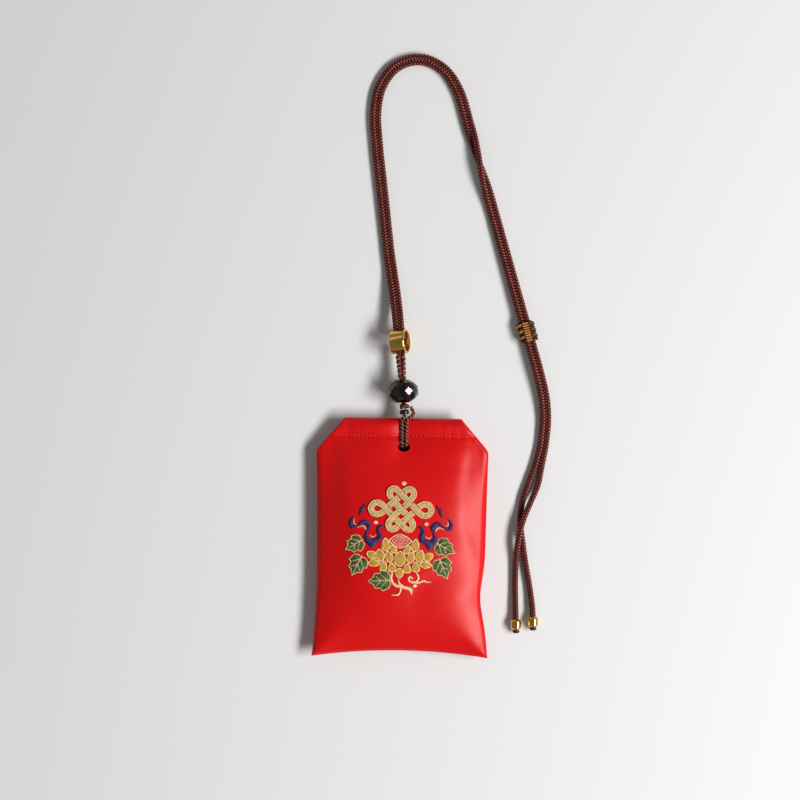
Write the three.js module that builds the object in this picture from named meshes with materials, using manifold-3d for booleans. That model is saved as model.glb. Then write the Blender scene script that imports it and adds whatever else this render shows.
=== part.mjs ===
// Amulet pouch on a doubled hanging cord, lying flat on its back. Millimetres, +Z up.
// The middle of the pouch is the origin, and the surface it lies on is z = 0.

import * as THREE from "three";
import { ConvexGeometry } from "three/addons/geometries/ConvexGeometry.js";
import { mergeVertices } from "three/addons/utils/BufferGeometryUtils.js";
import ManifoldModule from "manifold-3d";

// Pouch outline
const POUCH_HEIGHT = 75.6;
const BOTTOM_WIDTH = 56.0;
const WAIST_WIDTH = 52.8;
const WAIST_AT = 0.45;
const SHOULDER_WIDTH = 54.8;
const SHOULDER_DROP = 10.7;
const TOP_WIDTH = 37.8;
const BOTTOM_RISE = 2.0;
const HEM_DEPTH = SHOULDER_DROP / 2;

// Pouch thickness
const SEAM_PLANE = 4.5;
const SEAM_GAP = 0.3;
const CLOTH = 0.6;
const FRONT_CROWN = 4.75;
const BACK_CROWN = 5.6;
const EDGE_REACH = 0.33;

// Clearances
const FLOOR_GAP = 0.05;
const SEAT_GAP = 0.3;
const LIE_GAP = 0.35;

// Filling
const LAYER_GAP = 0.25;
const BACKING_THICKNESS = 0.4;
const CARD_WIDTH = 34.0;
const CARD_HEIGHT = 44.0;
const CARD_THICKNESS = 1.0;
const CARD_CORNER = 3.0;
const CARD_Y = -5.0;

// Hanger hole
const HOLE_X = 0.45;
const HOLE_DROP = 9.2;
const HOLE_WIDTH = 3.8;
const HOLE_HEIGHT = 2.9;

// Thin string, set out along its own axis from the pouch's top edge
const STRING_X = 0.55;
const STRING_LEAN = THREE.MathUtils.degToRad(4.7);
const STRING_DIAMETER = 1.2;
const LEG_GAP = 0.4;
const EAR_REACH = 3.7;
const SEED_RISE = 1.25;
const SEED_HEIGHT = 1.5;
const SEED_DIAMETER = 3.0;
const SEED_CLEARANCE = 0.35;
const KNOT_HEIGHT = 1.44;
const KNOT_WIDTH = 3.5;
const CRYSTAL_HEIGHT = 7.6;
const CRYSTAL_DIAMETER = 10.0;
const CRYSTAL_FACETS = 12;
const CRYSTAL_GIRDLE = 2.6;
const CRYSTAL_END = 4.6;
const CORE_DIAMETER = 2.0;
const CORE_CLEARANCE = 0.3;
const BRAID_LENGTH = 7.1;
const BRAID_LOWER = 2.6;
const BRAID_UPPER = 3.4;
const BRAID_NECK = 2.3;
const NECK_CLEARANCE = 0.5;
const STRING_KNOT_WIDTH = 3.7;
const STRING_KNOT_HEIGHT = 2.0;
const BACK_KNOT_WIDTH = 4.8;
const BACK_KNOT_HEIGHT = 1.6;
const BACK_KNOT_GAP = 0.6;

// Connector barrel, lying across the strap with one end turned up
const BARREL_DIAMETER = 8.0;
const BARREL_BORE = 6.4;
const BARREL_LENGTH = 5.0;
const BARREL_RIM = 0.3;
const BARREL_TURN = THREE.MathUtils.degToRad(17);
const SLOT_CLEARANCE = 0.15;
const SLOT_DEPTH = 2.6;
const STRAP_KNOT_WIDTH = 4.0;
const STRAP_KNOT_HEIGHT = 2.0;

// Strap cord
const CORD_DIAMETER = 1.9;
const STRAND_GAP = 0.2;
const CROSS_GAP = 0.25;
const CORD_STEPS = 58;

// Slider
const SLIDER_X = 39.15;
const SLIDER_Y = 65.94;
const SLIDER_RUN = new THREE.Vector3(-22.09, 74.41, -2.24).normalize();
const SLIDER_LENGTH = 6.4;
const SLEEVE_CLEARANCE = 0.15;
const SLEEVE_WALL = 0.4;
const WINDING_GAP = 0.1;
const WINDING_WIRE = 0.46;
const WINDING_PITCH = 0.92;
const WINDING_TURNS = 6;

// Cord ends
const END_BEAD_DIAMETER = 3.4;
const END_BEAD_HEIGHT = 2.8;
const END_BEAD_CLEARANCE = 0.15;
const TIP_DIAMETER = 2.3;
const TIP_LENGTH = 1.0;

// Places that follow from the sizes
const POUCH_TOP = POUCH_HEIGHT / 2;
const HEM_FRONT = SEAM_PLANE + SEAM_GAP / 2 + CLOTH;
const HEM_BACK = SEAM_PLANE - SEAM_GAP / 2 - CLOTH;
const HOLE_Y = POUCH_TOP - HOLE_DROP;
const STRING_Z = CRYSTAL_DIAMETER / 2 + FLOOR_GAP;
const SEED_AT = SEED_RISE + SEED_HEIGHT / 2;
const KNOT_AT = SEED_RISE + SEED_HEIGHT + SEAT_GAP + KNOT_HEIGHT / 2;
const CRYSTAL_AT = KNOT_AT + KNOT_HEIGHT / 2 + SEAT_GAP + CRYSTAL_HEIGHT / 2;
const BRAID_FROM = CRYSTAL_AT + CRYSTAL_HEIGHT / 2 + SEAT_GAP;
const BRAID_TO = BRAID_FROM + BRAID_LENGTH;
const BARREL_AT = BRAID_TO + 2 * SEAT_GAP + BARREL_DIAMETER / 2;
const STRING_KNOT_AT = BARREL_AT - SEAT_GAP - STRING_KNOT_HEIGHT / 2;
const STRAP_KNOT_AT = BARREL_AT + SEAT_GAP + STRAP_KNOT_HEIGHT / 2;
const CORD_PITCH = CORD_DIAMETER + STRAND_GAP;
const CORD_REST = CORD_DIAMETER / 2 + FLOOR_GAP;
const CROSS_LIFT = CORD_DIAMETER + CROSS_GAP;
const SLEEVE_INNER = CORD_DIAMETER / 2 + SLEEVE_CLEARANCE;
const SLEEVE_OUTER = SLEEVE_INNER + SLEEVE_WALL;
const WINDING_RADIUS = SLEEVE_OUTER + WINDING_GAP + WINDING_WIRE / 2;
const SLIDER_REST = WINDING_RADIUS + WINDING_WIRE / 2 + FLOOR_GAP;
const END_BEAD_REST = END_BEAD_DIAMETER / 2 + FLOOR_GAP;

const { lerp, clamp, smoothstep } = THREE.MathUtils;
const { Manifold, Mesh: ManifoldMesh } = await ManifoldModule().then((module) => {
  module.setup();
  return module;
});

// Closed meshes and booleans

function welded(geometry) {
  const plain = geometry.index ? geometry.toNonIndexed() : geometry.clone();
  for (const name of Object.keys(plain.attributes)) {
    if (name !== "position") {
      plain.deleteAttribute(name);
    }
  }
  return mergeVertices(plain, 1e-4);
}

function toManifold(geometry) {
  const merged = welded(geometry);
  return new Manifold(new ManifoldMesh({
    numProp: 3,
    vertProperties: new Float32Array(merged.attributes.position.array),
    triVerts: new Uint32Array(merged.index.array),
  }));
}

function cutAway(geometry, cutters) {
  let solid = toManifold(geometry);
  for (const cutter of cutters) {
    solid = solid.subtract(toManifold(cutter));
  }
  const mesh = solid.getMesh();
  const result = new THREE.BufferGeometry();
  result.setAttribute("position", new THREE.BufferAttribute(new Float32Array(mesh.vertProperties), 3));
  result.setIndex(new THREE.BufferAttribute(new Uint32Array(mesh.triVerts), 1));
  return result;
}

function indexed(positions, index) {
  const geometry = new THREE.BufferGeometry();
  geometry.setAttribute("position", new THREE.Float32BufferAttribute(positions, 3));
  geometry.setIndex(index);
  return geometry;
}

// Pouch surfaces, set out by u across the pouch and v up it

const SHOULDER_AT = 1 - SHOULDER_DROP / POUCH_HEIGHT;
const HEM_AT = 1 - HEM_DEPTH / POUCH_HEIGHT;

function halfWidth(v) {
  if (v > SHOULDER_AT) {
    return lerp(SHOULDER_WIDTH, TOP_WIDTH, (v - SHOULDER_AT) / (1 - SHOULDER_AT)) / 2;
  }
  const below = v < WAIST_AT;
  const away = below ? (WAIST_AT - v) / WAIST_AT : (v - WAIST_AT) / (SHOULDER_AT - WAIST_AT);
  return lerp(WAIST_WIDTH, below ? BOTTOM_WIDTH : SHOULDER_WIDTH, away * away) / 2;
}

function outlinePoint(u, v) {
  const bottom = -POUCH_HEIGHT / 2 + BOTTOM_RISE * (1 - u * u);
  return [u * halfWidth(v), lerp(bottom, POUCH_HEIGHT / 2, v)];
}

function swell(u, v) {
  const across = Math.cos((Math.PI / 2) * Math.min(Math.abs(u), 1) ** 1.6) ** 0.7;
  const fromBottom = Math.sin((Math.PI / 2) * clamp(v / EDGE_REACH, 0, 1)) ** 0.75;
  const fromHem = Math.sin((Math.PI / 2) * clamp((HEM_AT - v) / EDGE_REACH, 0, 1)) ** 1.1;
  return Math.max(across, 0) * fromBottom * fromHem;
}

function frontOuter(u, v) {
  return HEM_FRONT + FRONT_CROWN * swell(u, v);
}

function frontInner(u, v) {
  return frontOuter(u, v) - CLOTH;
}

function backOuter(u, v) {
  return Math.max(0, HEM_BACK - BACK_CROWN * swell(u, v));
}

function backInner(u, v) {
  return backOuter(u, v) + CLOTH;
}

function upTo(y) {
  return (y + POUCH_HEIGHT / 2 - BOTTOM_RISE) / (POUCH_HEIGHT - BOTTOM_RISE);
}

function spread(count, low, high, shape = (t) => t) {
  return Array.from({ length: count + 1 }, (_, i) => lerp(low, high, shape(i / count)));
}

function sheetSolid(us, vs, upper, lower) {
  const columns = us.length;
  const layer = columns * vs.length;
  const positions = [];
  for (const height of [upper, lower]) {
    for (const v of vs) {
      for (const u of us) {
        positions.push(...outlinePoint(u, v), height(u, v));
      }
    }
  }
  const index = [];
  const quad = (a, b, c, d) => index.push(a, b, c, a, c, d);
  for (let row = 0; row + 1 < vs.length; row += 1) {
    for (let column = 0; column + 1 < columns; column += 1) {
      const a = row * columns + column;
      const b = layer + a;
      quad(a, a + 1, a + columns + 1, a + columns);
      quad(b, b + columns, b + columns + 1, b + 1);
    }
    const left = row * columns;
    const right = left + columns - 1;
    quad(left, left + columns, layer + left + columns, layer + left);
    quad(layer + right, layer + right + columns, right + columns, right);
  }
  const top = layer - columns;
  for (let column = 0; column + 1 < columns; column += 1) {
    quad(layer + column, layer + column + 1, column + 1, column);
    quad(top + column, top + column + 1, layer + top + column + 1, layer + top + column);
  }
  return indexed(positions, index);
}

// Cords, knots and beads

function cordTube(points, diameter, steps, sides = 8) {
  const ring = new THREE.Shape();
  for (let k = 0; k < sides; k += 1) {
    const angle = (2 * Math.PI * k) / sides;
    const x = (diameter / 2) * Math.cos(angle);
    const y = (diameter / 2) * Math.sin(angle);
    if (k === 0) {
      ring.moveTo(x, y);
    } else {
      ring.lineTo(x, y);
    }
  }
  ring.closePath();
  const extrudePath = new THREE.CatmullRomCurve3(points, false, "centripetal");
  return new THREE.ExtrudeGeometry(ring, { steps, bevelEnabled: false, extrudePath });
}

function lobedRod(stations, lobes, depth, twist, sides) {
  const positions = [0, stations[0][0], 0];
  for (const [height, radius] of stations) {
    for (let k = 0; k < sides; k += 1) {
      const angle = (2 * Math.PI * k) / sides;
      const reach = radius * (1 - depth + depth * Math.cos(lobes * angle - twist * height));
      positions.push(reach * Math.cos(angle), height, -reach * Math.sin(angle));
    }
  }
  positions.push(0, stations.at(-1)[0], 0);
  const index = [];
  const last = positions.length / 3 - 1;
  for (let k = 0; k < sides; k += 1) {
    const next = (k + 1) % sides;
    index.push(0, 1 + next, 1 + k);
    for (let row = 0; row + 1 < stations.length; row += 1) {
      const a = 1 + row * sides;
      const b = a + sides;
      index.push(a + k, a + next, b + next, a + k, b + next, b + k);
    }
    index.push(last, last - sides + k, last - sides + next);
  }
  return indexed(positions, index);
}

function knotStations(centre, height, width, rows = 8) {
  return spread(rows, -0.97, 0.97).map((t) => [
    centre + (t * height) / 2,
    (width / 2) * Math.sqrt(1 - t * t),
  ]);
}

function ringBead(outer, bore, height, roundness, segments = 16) {
  const profile = [new THREE.Vector2(bore / 2, -height / 2)];
  for (const t of spread(6, -1, 1)) {
    const radius = lerp(bore / 2 + 0.15, outer / 2, Math.sqrt(1 - roundness * t * t));
    profile.push(new THREE.Vector2(radius, (t * height) / 2));
  }
  profile.push(new THREE.Vector2(bore / 2, height / 2));
  profile.push(profile[0].clone());
  return new THREE.LatheGeometry(profile, segments);
}

function facetedBead() {
  const points = [];
  const waist = CRYSTAL_DIAMETER / 2;
  const step = (2 * Math.PI) / CRYSTAL_FACETS;
  const girdle = waist * Math.cos(step / 2);
  const around = (radius, angle, y) =>
    points.push(new THREE.Vector3(radius * Math.sin(angle), y, radius * Math.cos(angle)));
  for (let k = 0; k < CRYSTAL_FACETS; k += 1) {
    around(waist, (k + 0.5) * step, 0);
    for (const side of [-1, 1]) {
      around(girdle, k * step, (side * CRYSTAL_GIRDLE) / 2);
      around(CRYSTAL_END / 2, (k + 0.5) * step, (side * CRYSTAL_HEIGHT) / 2);
    }
  }
  const radius = CORE_DIAMETER / 2 + CORE_CLEARANCE;
  const bore = new THREE.CylinderGeometry(radius, radius, 2 * CRYSTAL_HEIGHT, 16);
  return cutAway(new ConvexGeometry(points), [bore]);
}

// Parts in their own materials

const object = new THREE.Group();
object.name = "amulet_pouch";

function addPart(parent, name, geometry, color, roughness, metalness = 0) {
  const material = new THREE.MeshStandardMaterial({ color, roughness, metalness });
  const mesh = new THREE.Mesh(welded(geometry), material);
  mesh.name = name;
  parent.add(mesh);
  return mesh;
}

const SATIN = 0xb80c10;
const STRING = 0x8c3a2c;
const CORD = 0x4a2018;
const GOLD = 0xd8a12c;

// Pouch panels and filling

const acrossAll = spread(22, -1, 1, (t) => (1 + Math.sin(Math.PI * (t - 0.5))) / 2);
const upAll = [
  ...spread(17, 0, SHOULDER_AT, (t) => t ** 1.25),
  ...spread(6, SHOULDER_AT, 1).slice(1),
];

function hangerHole() {
  const hole = new THREE.CylinderGeometry(1, 1, 40, 24);
  hole.rotateX(Math.PI / 2);
  hole.scale(HOLE_WIDTH / 2, HOLE_HEIGHT / 2, 1);
  hole.translate(HOLE_X, HOLE_Y, 0);
  return hole;
}

const frontPanel = sheetSolid(acrossAll, upAll, frontOuter, frontInner);
addPart(object, "front_panel", cutAway(frontPanel, [hangerHole()]), SATIN, 0.35);

const backPanel = sheetSolid(acrossAll, upAll, backInner, backOuter);
addPart(object, "back_panel", cutAway(backPanel, [hangerHole()]), SATIN, 0.35);

const backingAcross = spread(8, -0.68, 0.68);
const backingUp = spread(8, 0.2, 0.72);
const backingTop = (u, v) => frontInner(u, v) - LAYER_GAP;
const backingBottom = (u, v) => backingTop(u, v) - BACKING_THICKNESS;
const backing = sheetSolid(backingAcross, backingUp, backingTop, backingBottom);
addPart(object, "embroidery_backing", backing, 0xe6e0d4, 0.9);

const padAcross = spread(10, -0.72, 0.72);
const padUp = spread(12, 0.13, 0.74);
const cardTop = SEAM_PLANE + CARD_THICKNESS / 2 + LAYER_GAP;
const cardUnder = SEAM_PLANE - CARD_THICKNESS / 2 - LAYER_GAP;
const padTop = (u, v) => backingBottom(u, v) - LAYER_GAP;
const frontPad = sheetSolid(padAcross, padUp, padTop, () => cardTop);
addPart(object, "front_wadding", frontPad, 0xeeeae0, 0.95);

const padBottom = (u, v) => backInner(u, v) + LAYER_GAP;
const backPad = sheetSolid(padAcross, padUp, () => cardUnder, padBottom);
addPart(object, "back_wadding", backPad, 0xeeeae0, 0.95);

const cardOutline = new THREE.Shape();
const cardX = CARD_WIDTH / 2 - CARD_CORNER;
const cardY = CARD_HEIGHT / 2 - CARD_CORNER;
cardOutline.absarc(cardX, cardY, CARD_CORNER, 0, Math.PI / 2);
cardOutline.absarc(-cardX, cardY, CARD_CORNER, Math.PI / 2, Math.PI);
cardOutline.absarc(-cardX, -cardY, CARD_CORNER, Math.PI, 1.5 * Math.PI);
cardOutline.absarc(cardX, -cardY, CARD_CORNER, 1.5 * Math.PI, 2 * Math.PI);
const cardSolid = { depth: CARD_THICKNESS, bevelEnabled: false, curveSegments: 4 };
const card = addPart(object, "amulet_card", new THREE.ExtrudeGeometry(cardOutline, cardSolid), 0xd9b45a, 0.6);
card.position.set(0, CARD_Y, SEAM_PLANE - CARD_THICKNESS / 2);

// Thin string and what is threaded on it

const string = new THREE.Group();
string.position.set(STRING_X, POUCH_TOP, STRING_Z);
string.rotation.z = STRING_LEAN;
object.add(string);
object.updateMatrixWorld(true);
const onString = (x, y, z) => string.localToWorld(new THREE.Vector3(x, y, z));

const seedBore = STRING_DIAMETER + 2 * SEED_CLEARANCE;
const seedSolid = ringBead(SEED_DIAMETER, seedBore, SEED_HEIGHT, 0.6);
const seed = addPart(string, "seed_bead", seedSolid, 0x0c1a14, 0.08);
seed.position.y = SEED_AT;

const stopper = lobedRod(knotStations(KNOT_AT, KNOT_HEIGHT, KNOT_WIDTH), 3, 0.08, 1.2, 18);
addPart(string, "stopper_knot", stopper, STRING, 0.7);

const crystal = addPart(string, "crystal_bead", facetedBead(), 0x1c0a08, 0.03);
crystal.position.y = CRYSTAL_AT;

const coreEnds = [CRYSTAL_AT - CRYSTAL_HEIGHT / 2, CRYSTAL_AT + CRYSTAL_HEIGHT / 2];
const core = spread(8, ...coreEnds).map((y) => [y, CORE_DIAMETER / 2]);
addPart(string, "string_core", lobedRod(core, 2, 0.12, 1.4, 12), STRING, 0.7);

const braidStations = spread(10, 0, 1).map((t) => [
  lerp(BRAID_FROM, BRAID_TO, t),
  lerp(BRAID_LOWER, BRAID_UPPER, t) / 2,
]);
braidStations.push([BRAID_TO + SEAT_GAP, BRAID_NECK / 2]);
braidStations.push([STRING_KNOT_AT - STRING_KNOT_HEIGHT / 2, BRAID_NECK / 2]);
braidStations.push(...knotStations(STRING_KNOT_AT, STRING_KNOT_HEIGHT, STRING_KNOT_WIDTH).slice(2));
addPart(string, "string_braid", lobedRod(braidStations, 3, 0.1, 1.5, 18), STRING, 0.7);

// Connector barrel with its cross slot and hole, and the strap's knot inside it

const barrelHalf = BARREL_LENGTH / 2;
const barrelOut = BARREL_DIAMETER / 2;
const barrelIn = BARREL_BORE / 2;
const barrelProfile = [
  new THREE.Vector2(barrelIn, -barrelHalf),
  new THREE.Vector2(barrelOut - BARREL_RIM, -barrelHalf),
  new THREE.Vector2(barrelOut, -barrelHalf + BARREL_RIM),
  new THREE.Vector2(barrelOut, barrelHalf - BARREL_RIM),
  new THREE.Vector2(barrelOut - BARREL_RIM, barrelHalf),
  new THREE.Vector2(barrelIn, barrelHalf),
  new THREE.Vector2(barrelIn, -barrelHalf),
];
const barrelTube = new THREE.LatheGeometry(barrelProfile, 40);
barrelTube.rotateZ(-Math.PI / 2);
const slotWidth = CORD_PITCH + CORD_DIAMETER + 2 * SLOT_CLEARANCE;
const barrelSlot = new THREE.BoxGeometry(slotWidth, BARREL_DIAMETER, SLOT_DEPTH);
barrelSlot.translate(0, BARREL_DIAMETER / 2, 0);
const neckHole = BRAID_NECK / 2 + NECK_CLEARANCE;
const barrelHole = new THREE.CylinderGeometry(neckHole, neckHole, BARREL_DIAMETER, 20);
barrelHole.translate(0, -BARREL_DIAMETER / 2, 0);
const barrelSolid = cutAway(barrelTube, [barrelSlot, barrelHole]);
const barrel = addPart(string, "connector_barrel", barrelSolid, GOLD, 0.18, 1);
barrel.position.y = BARREL_AT;
barrel.rotation.y = -BARREL_TURN;

const strapKnotRows = knotStations(STRAP_KNOT_AT, STRAP_KNOT_HEIGHT, STRAP_KNOT_WIDTH);
addPart(string, "strap_knot", lobedRod(strapKnotRows, 3, 0.06, 1.0, 18), CORD, 0.75);

// Two legs of the string on the pouch, through the hole to a knot behind it

const frontAt = (y) => frontOuter(0, upTo(y));
const backKnotTop = backOuter(0, upTo(HOLE_Y)) - BACK_KNOT_GAP;

function hangerLeg(side) {
  const x = HOLE_X + (side * (STRING_DIAMETER + LEG_GAP)) / 2;
  const lie = STRING_DIAMETER / 2 + LIE_GAP;
  const holeTop = HOLE_Y + HOLE_HEIGHT / 2;
  const points = [POUCH_TOP - 1.4, (POUCH_TOP + holeTop) / 2, holeTop + 1.1, holeTop].map(
    (y) => new THREE.Vector3(x, y, frontAt(y) + lie),
  );
  points.push(new THREE.Vector3(x, HOLE_Y + 0.6, frontAt(HOLE_Y) + 0.15));
  points.push(new THREE.Vector3(x, HOLE_Y + 0.3, frontAt(HOLE_Y) - 0.7));
  points.push(new THREE.Vector3(x, HOLE_Y + 0.25, SEAM_PLANE));
  points.push(new THREE.Vector3(x, HOLE_Y + 0.15, backKnotTop + SEAT_GAP));
  return points;
}

const legLeft = [
  onString(0, SEED_AT + SEED_HEIGHT / 2 + 0.05, 0),
  onString(0, SEED_AT - 0.2, 0.05),
  new THREE.Vector3(HOLE_X - 0.05, POUCH_TOP + 0.75, HEM_FRONT + 0.3),
  new THREE.Vector3(HOLE_X - 0.4, POUCH_TOP - 0.1, HEM_FRONT + 0.87),
  ...hangerLeg(-1),
];
addPart(object, "hanger_leg_left", cordTube(legLeft, STRING_DIAMETER, 24), STRING, 0.7);

const legRight = [
  onString(KNOT_WIDTH / 2 + SEAT_GAP, KNOT_AT - 0.2, 0),
  new THREE.Vector3(STRING_X + 0.8 * EAR_REACH, POUCH_TOP + 2.95, STRING_Z),
  new THREE.Vector3(STRING_X + EAR_REACH, POUCH_TOP + 1.8, STRING_Z + 0.05),
  new THREE.Vector3(STRING_X + 0.82 * EAR_REACH, POUCH_TOP + 0.75, HEM_FRONT + 0.4),
  new THREE.Vector3(STRING_X + 0.48 * EAR_REACH, POUCH_TOP, HEM_FRONT + 0.95),
  ...hangerLeg(1),
];
addPart(object, "hanger_leg_right", cordTube(legRight, STRING_DIAMETER, 28), STRING, 0.7);

const backKnot = lobedRod(knotStations(0, BACK_KNOT_HEIGHT, BACK_KNOT_WIDTH, 6), 3, 0.08, 0, 18);
backKnot.rotateX(Math.PI / 2);
const behind = addPart(object, "back_knot", backKnot, STRING, 0.7);
behind.position.set(HOLE_X, HOLE_Y, backKnotTop - BACK_KNOT_HEIGHT / 2);

// Strap: one middle line for both strands, then a tail for each

const barrelAxis = new THREE.Vector3(Math.cos(BARREL_TURN), 0, Math.sin(BARREL_TURN));
barrelAxis.applyAxisAngle(new THREE.Vector3(0, 0, 1), STRING_LEAN);
const sliderPoint = new THREE.Vector3(SLIDER_X, SLIDER_Y, SLIDER_REST);
const onRun = (along) => sliderPoint.clone().addScaledVector(SLIDER_RUN, along);

const leftRun = [
  onString(0, STRAP_KNOT_AT + STRAP_KNOT_HEIGHT / 2 + SEAT_GAP, 0),
  onString(0, BARREL_AT + BARREL_DIAMETER / 2 + 1.2, -0.1),
  new THREE.Vector3(-3.0, 76.5, 2.9),
  new THREE.Vector3(-4.2, 84.0, 1.35),
  new THREE.Vector3(-5.3, 91.0, CORD_REST),
  new THREE.Vector3(-7.4, 108.0, CORD_REST),
  new THREE.Vector3(-9.6, 126.0, CORD_REST),
  new THREE.Vector3(-10.2, 135.0, CORD_REST),
];
const arch = [
  new THREE.Vector3(-8.6, 143.6, CORD_REST),
  new THREE.Vector3(-3.6, 150.2, CORD_REST),
  new THREE.Vector3(4.0, 152.4, CORD_REST),
  new THREE.Vector3(11.2, 149.4, CORD_REST),
  new THREE.Vector3(16.0, 142.8, CORD_REST),
];
const upperRun = [68, 60, 52, 44].map((along) => onRun(along).setZ(CORD_REST));
const slideRun = [36, 27, 18, 9, 0, -6, -12].map((along) => onRun(along));
const lowerRun = [
  new THREE.Vector3(44.9, 45.0, 1.9),
  new THREE.Vector3(45.5, 37.5, 1.2),
  new THREE.Vector3(44.9, 30.0, CORD_REST),
];
const middlePoints = [...leftRun, ...arch, ...upperRun, ...slideRun, ...lowerRun];
const middle = new THREE.CatmullRomCurve3(middlePoints, false, "centripetal");

// The strands change sides once, on the upper part of the right-hand run
const crossing = onRun(56);

function strandRun(side, lift) {
  return spread(76, 0, 1).map((t) => {
    const at = middle.getPointAt(t);
    const ahead = middle.getTangentAt(t);
    const across = new THREE.Vector3(ahead.y, -ahead.x, 0).normalize();
    across.lerp(barrelAxis, 1 - smoothstep(t, 0, 0.06)).normalize();
    const goingDown = t > 0.5;
    const gone = goingDown ? clamp((crossing.y - at.y) / 11, -1, 1) : -1;
    const near = goingDown ? clamp((crossing.y - at.y) / 16, -1, 1) : -1;
    const swap = Math.cos((Math.PI / 2) * (gone + 1));
    at.addScaledVector(across, (side * swap * CORD_PITCH) / 2);
    at.z += lift * Math.cos((Math.PI / 2) * near) ** 2;
    return at;
  });
}

const underTail = [
  new THREE.Vector3(42.3, 22.95, CORD_REST),
  new THREE.Vector3(40.7, 18.4, CORD_REST),
  new THREE.Vector3(38.6, 11.8, CORD_REST),
  new THREE.Vector3(38.0, 5.0, CORD_REST),
  new THREE.Vector3(38.9, -2.0, CORD_REST),
  new THREE.Vector3(39.9, -8.5, CORD_REST),
  new THREE.Vector3(41.3, -16.0, CORD_REST),
  new THREE.Vector3(42.2, -22.5, END_BEAD_REST - 0.2),
  new THREE.Vector3(42.42, -26.56, END_BEAD_REST),
  new THREE.Vector3(42.5, -28.9, END_BEAD_REST),
];
const overTail = [
  new THREE.Vector3(44.5, 22.9, CORD_REST + 0.05),
  new THREE.Vector3(43.4, 17.2, CORD_REST + 0.3 * CROSS_LIFT),
  new THREE.Vector3(41.0, 11.4, CORD_REST + 0.85 * CROSS_LIFT),
  new THREE.Vector3(38.7, 5.6, CORD_REST + CROSS_LIFT),
  new THREE.Vector3(37.3, -0.8, CORD_REST + 0.85 * CROSS_LIFT),
  new THREE.Vector3(36.7, -7.5, CORD_REST + 0.15 * CROSS_LIFT),
  new THREE.Vector3(36.6, -15.0, CORD_REST),
  new THREE.Vector3(36.85, -23.2, END_BEAD_REST - 0.25),
  new THREE.Vector3(37.0, -27.53, END_BEAD_REST),
  new THREE.Vector3(37.1, -29.9, END_BEAD_REST),
];
const strandA = [...strandRun(-1, CROSS_LIFT), ...underTail];
const strandB = [...strandRun(1, 0), ...overTail];
addPart(object, "strap_cord_a", cordTube(strandA, CORD_DIAMETER, CORD_STEPS), CORD, 0.75);
addPart(object, "strap_cord_b", cordTube(strandB, CORD_DIAMETER, CORD_STEPS), CORD, 0.75);

// Beads and sealed tips at the two cord ends

function endPieces(tail, letter) {
  const last = tail.at(-1);
  const seat = tail.at(-2);
  const along = last.clone().sub(seat).normalize();
  const turn = new THREE.Quaternion().setFromUnitVectors(new THREE.Vector3(0, 1, 0), along);
  const bore = CORD_DIAMETER + 2 * END_BEAD_CLEARANCE;
  const ball = ringBead(END_BEAD_DIAMETER, bore, END_BEAD_HEIGHT, 0.86, 20);
  const bead = addPart(object, `end_bead_${letter}`, ball, GOLD, 0.2, 1);
  bead.position.copy(seat);
  bead.quaternion.copy(turn);
  const half = TIP_DIAMETER / 2;
  const tipStations = [0, 0.3, 0.7, 1].map((t) => [t * TIP_LENGTH, half * (1 - 1.5 * (t - 0.45) ** 2)]);
  const tip = addPart(object, `cord_tip_${letter}`, lobedRod(tipStations, 1, 0, 0, 12), 0x140a08, 0.4);
  tip.position.copy(last).addScaledVector(along, SEAT_GAP / 2);
  tip.quaternion.copy(turn);
}

endPieces(underTail, "a");
endPieces(overTail, "b");

// Slider: a flat sleeve with a thread wound round it

const slider = new THREE.Group();
slider.position.copy(sliderPoint);
const runAcross = new THREE.Vector3(SLIDER_RUN.y, -SLIDER_RUN.x, 0).normalize();
const runUp = new THREE.Vector3().crossVectors(runAcross, SLIDER_RUN);
slider.setRotationFromMatrix(new THREE.Matrix4().makeBasis(runAcross, SLIDER_RUN, runUp));
object.add(slider);

function stadium(target, radius) {
  target.absarc(CORD_PITCH / 2, 0, radius, -Math.PI / 2, Math.PI / 2);
  target.absarc(-CORD_PITCH / 2, 0, radius, Math.PI / 2, 1.5 * Math.PI);
  return target;
}

const sleeveOutline = stadium(new THREE.Shape(), SLEEVE_OUTER);
sleeveOutline.holes.push(stadium(new THREE.Path(), SLEEVE_INNER));
const sleeveSolid = { depth: SLIDER_LENGTH, bevelEnabled: false, curveSegments: 8 };
const sleeve = new THREE.ExtrudeGeometry(sleeveOutline, sleeveSolid);
sleeve.translate(0, 0, -SLIDER_LENGTH / 2);
sleeve.rotateX(-Math.PI / 2);
addPart(slider, "slider_sleeve", sleeve, 0x5a3010, 0.7);

function windingPoint(turns) {
  const arc = Math.PI * WINDING_RADIUS;
  const around = (turns - Math.floor(turns)) * 2 * (arc + CORD_PITCH);
  const right = around < arc + CORD_PITCH;
  const along = right ? around : around - arc - CORD_PITCH;
  const angle = Math.min(along / WINDING_RADIUS, Math.PI) - Math.PI / 2;
  const flat = Math.max(along - arc, 0);
  const side = right ? 1 : -1;
  return new THREE.Vector3(
    side * (CORD_PITCH / 2 + WINDING_RADIUS * Math.cos(angle) - flat),
    (turns - WINDING_TURNS / 2) * WINDING_PITCH,
    side * WINDING_RADIUS * Math.sin(angle),
  );
}

const windingSteps = 22 * WINDING_TURNS;
const windingLine = spread(windingSteps, 0, WINDING_TURNS).map(windingPoint);
const winding = cordTube(windingLine, WINDING_WIRE, windingSteps, 6);
addPart(slider, "slider_winding", winding, 0xa86a1e, 0.5);

const finePoints = spread(90 * WINDING_TURNS, 0, WINDING_TURNS).map(windingPoint);
let leastGap = Infinity;
finePoints.forEach((a, i) => {
  for (let j = i + 45; j < finePoints.length; j += 1) {
    leastGap = Math.min(leastGap, a.distanceTo(finePoints[j]) - WINDING_WIRE);
  }
});
console.log(`slider winding: least gap to itself ${leastGap.toFixed(2)} mm`);

export default object;
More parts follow.
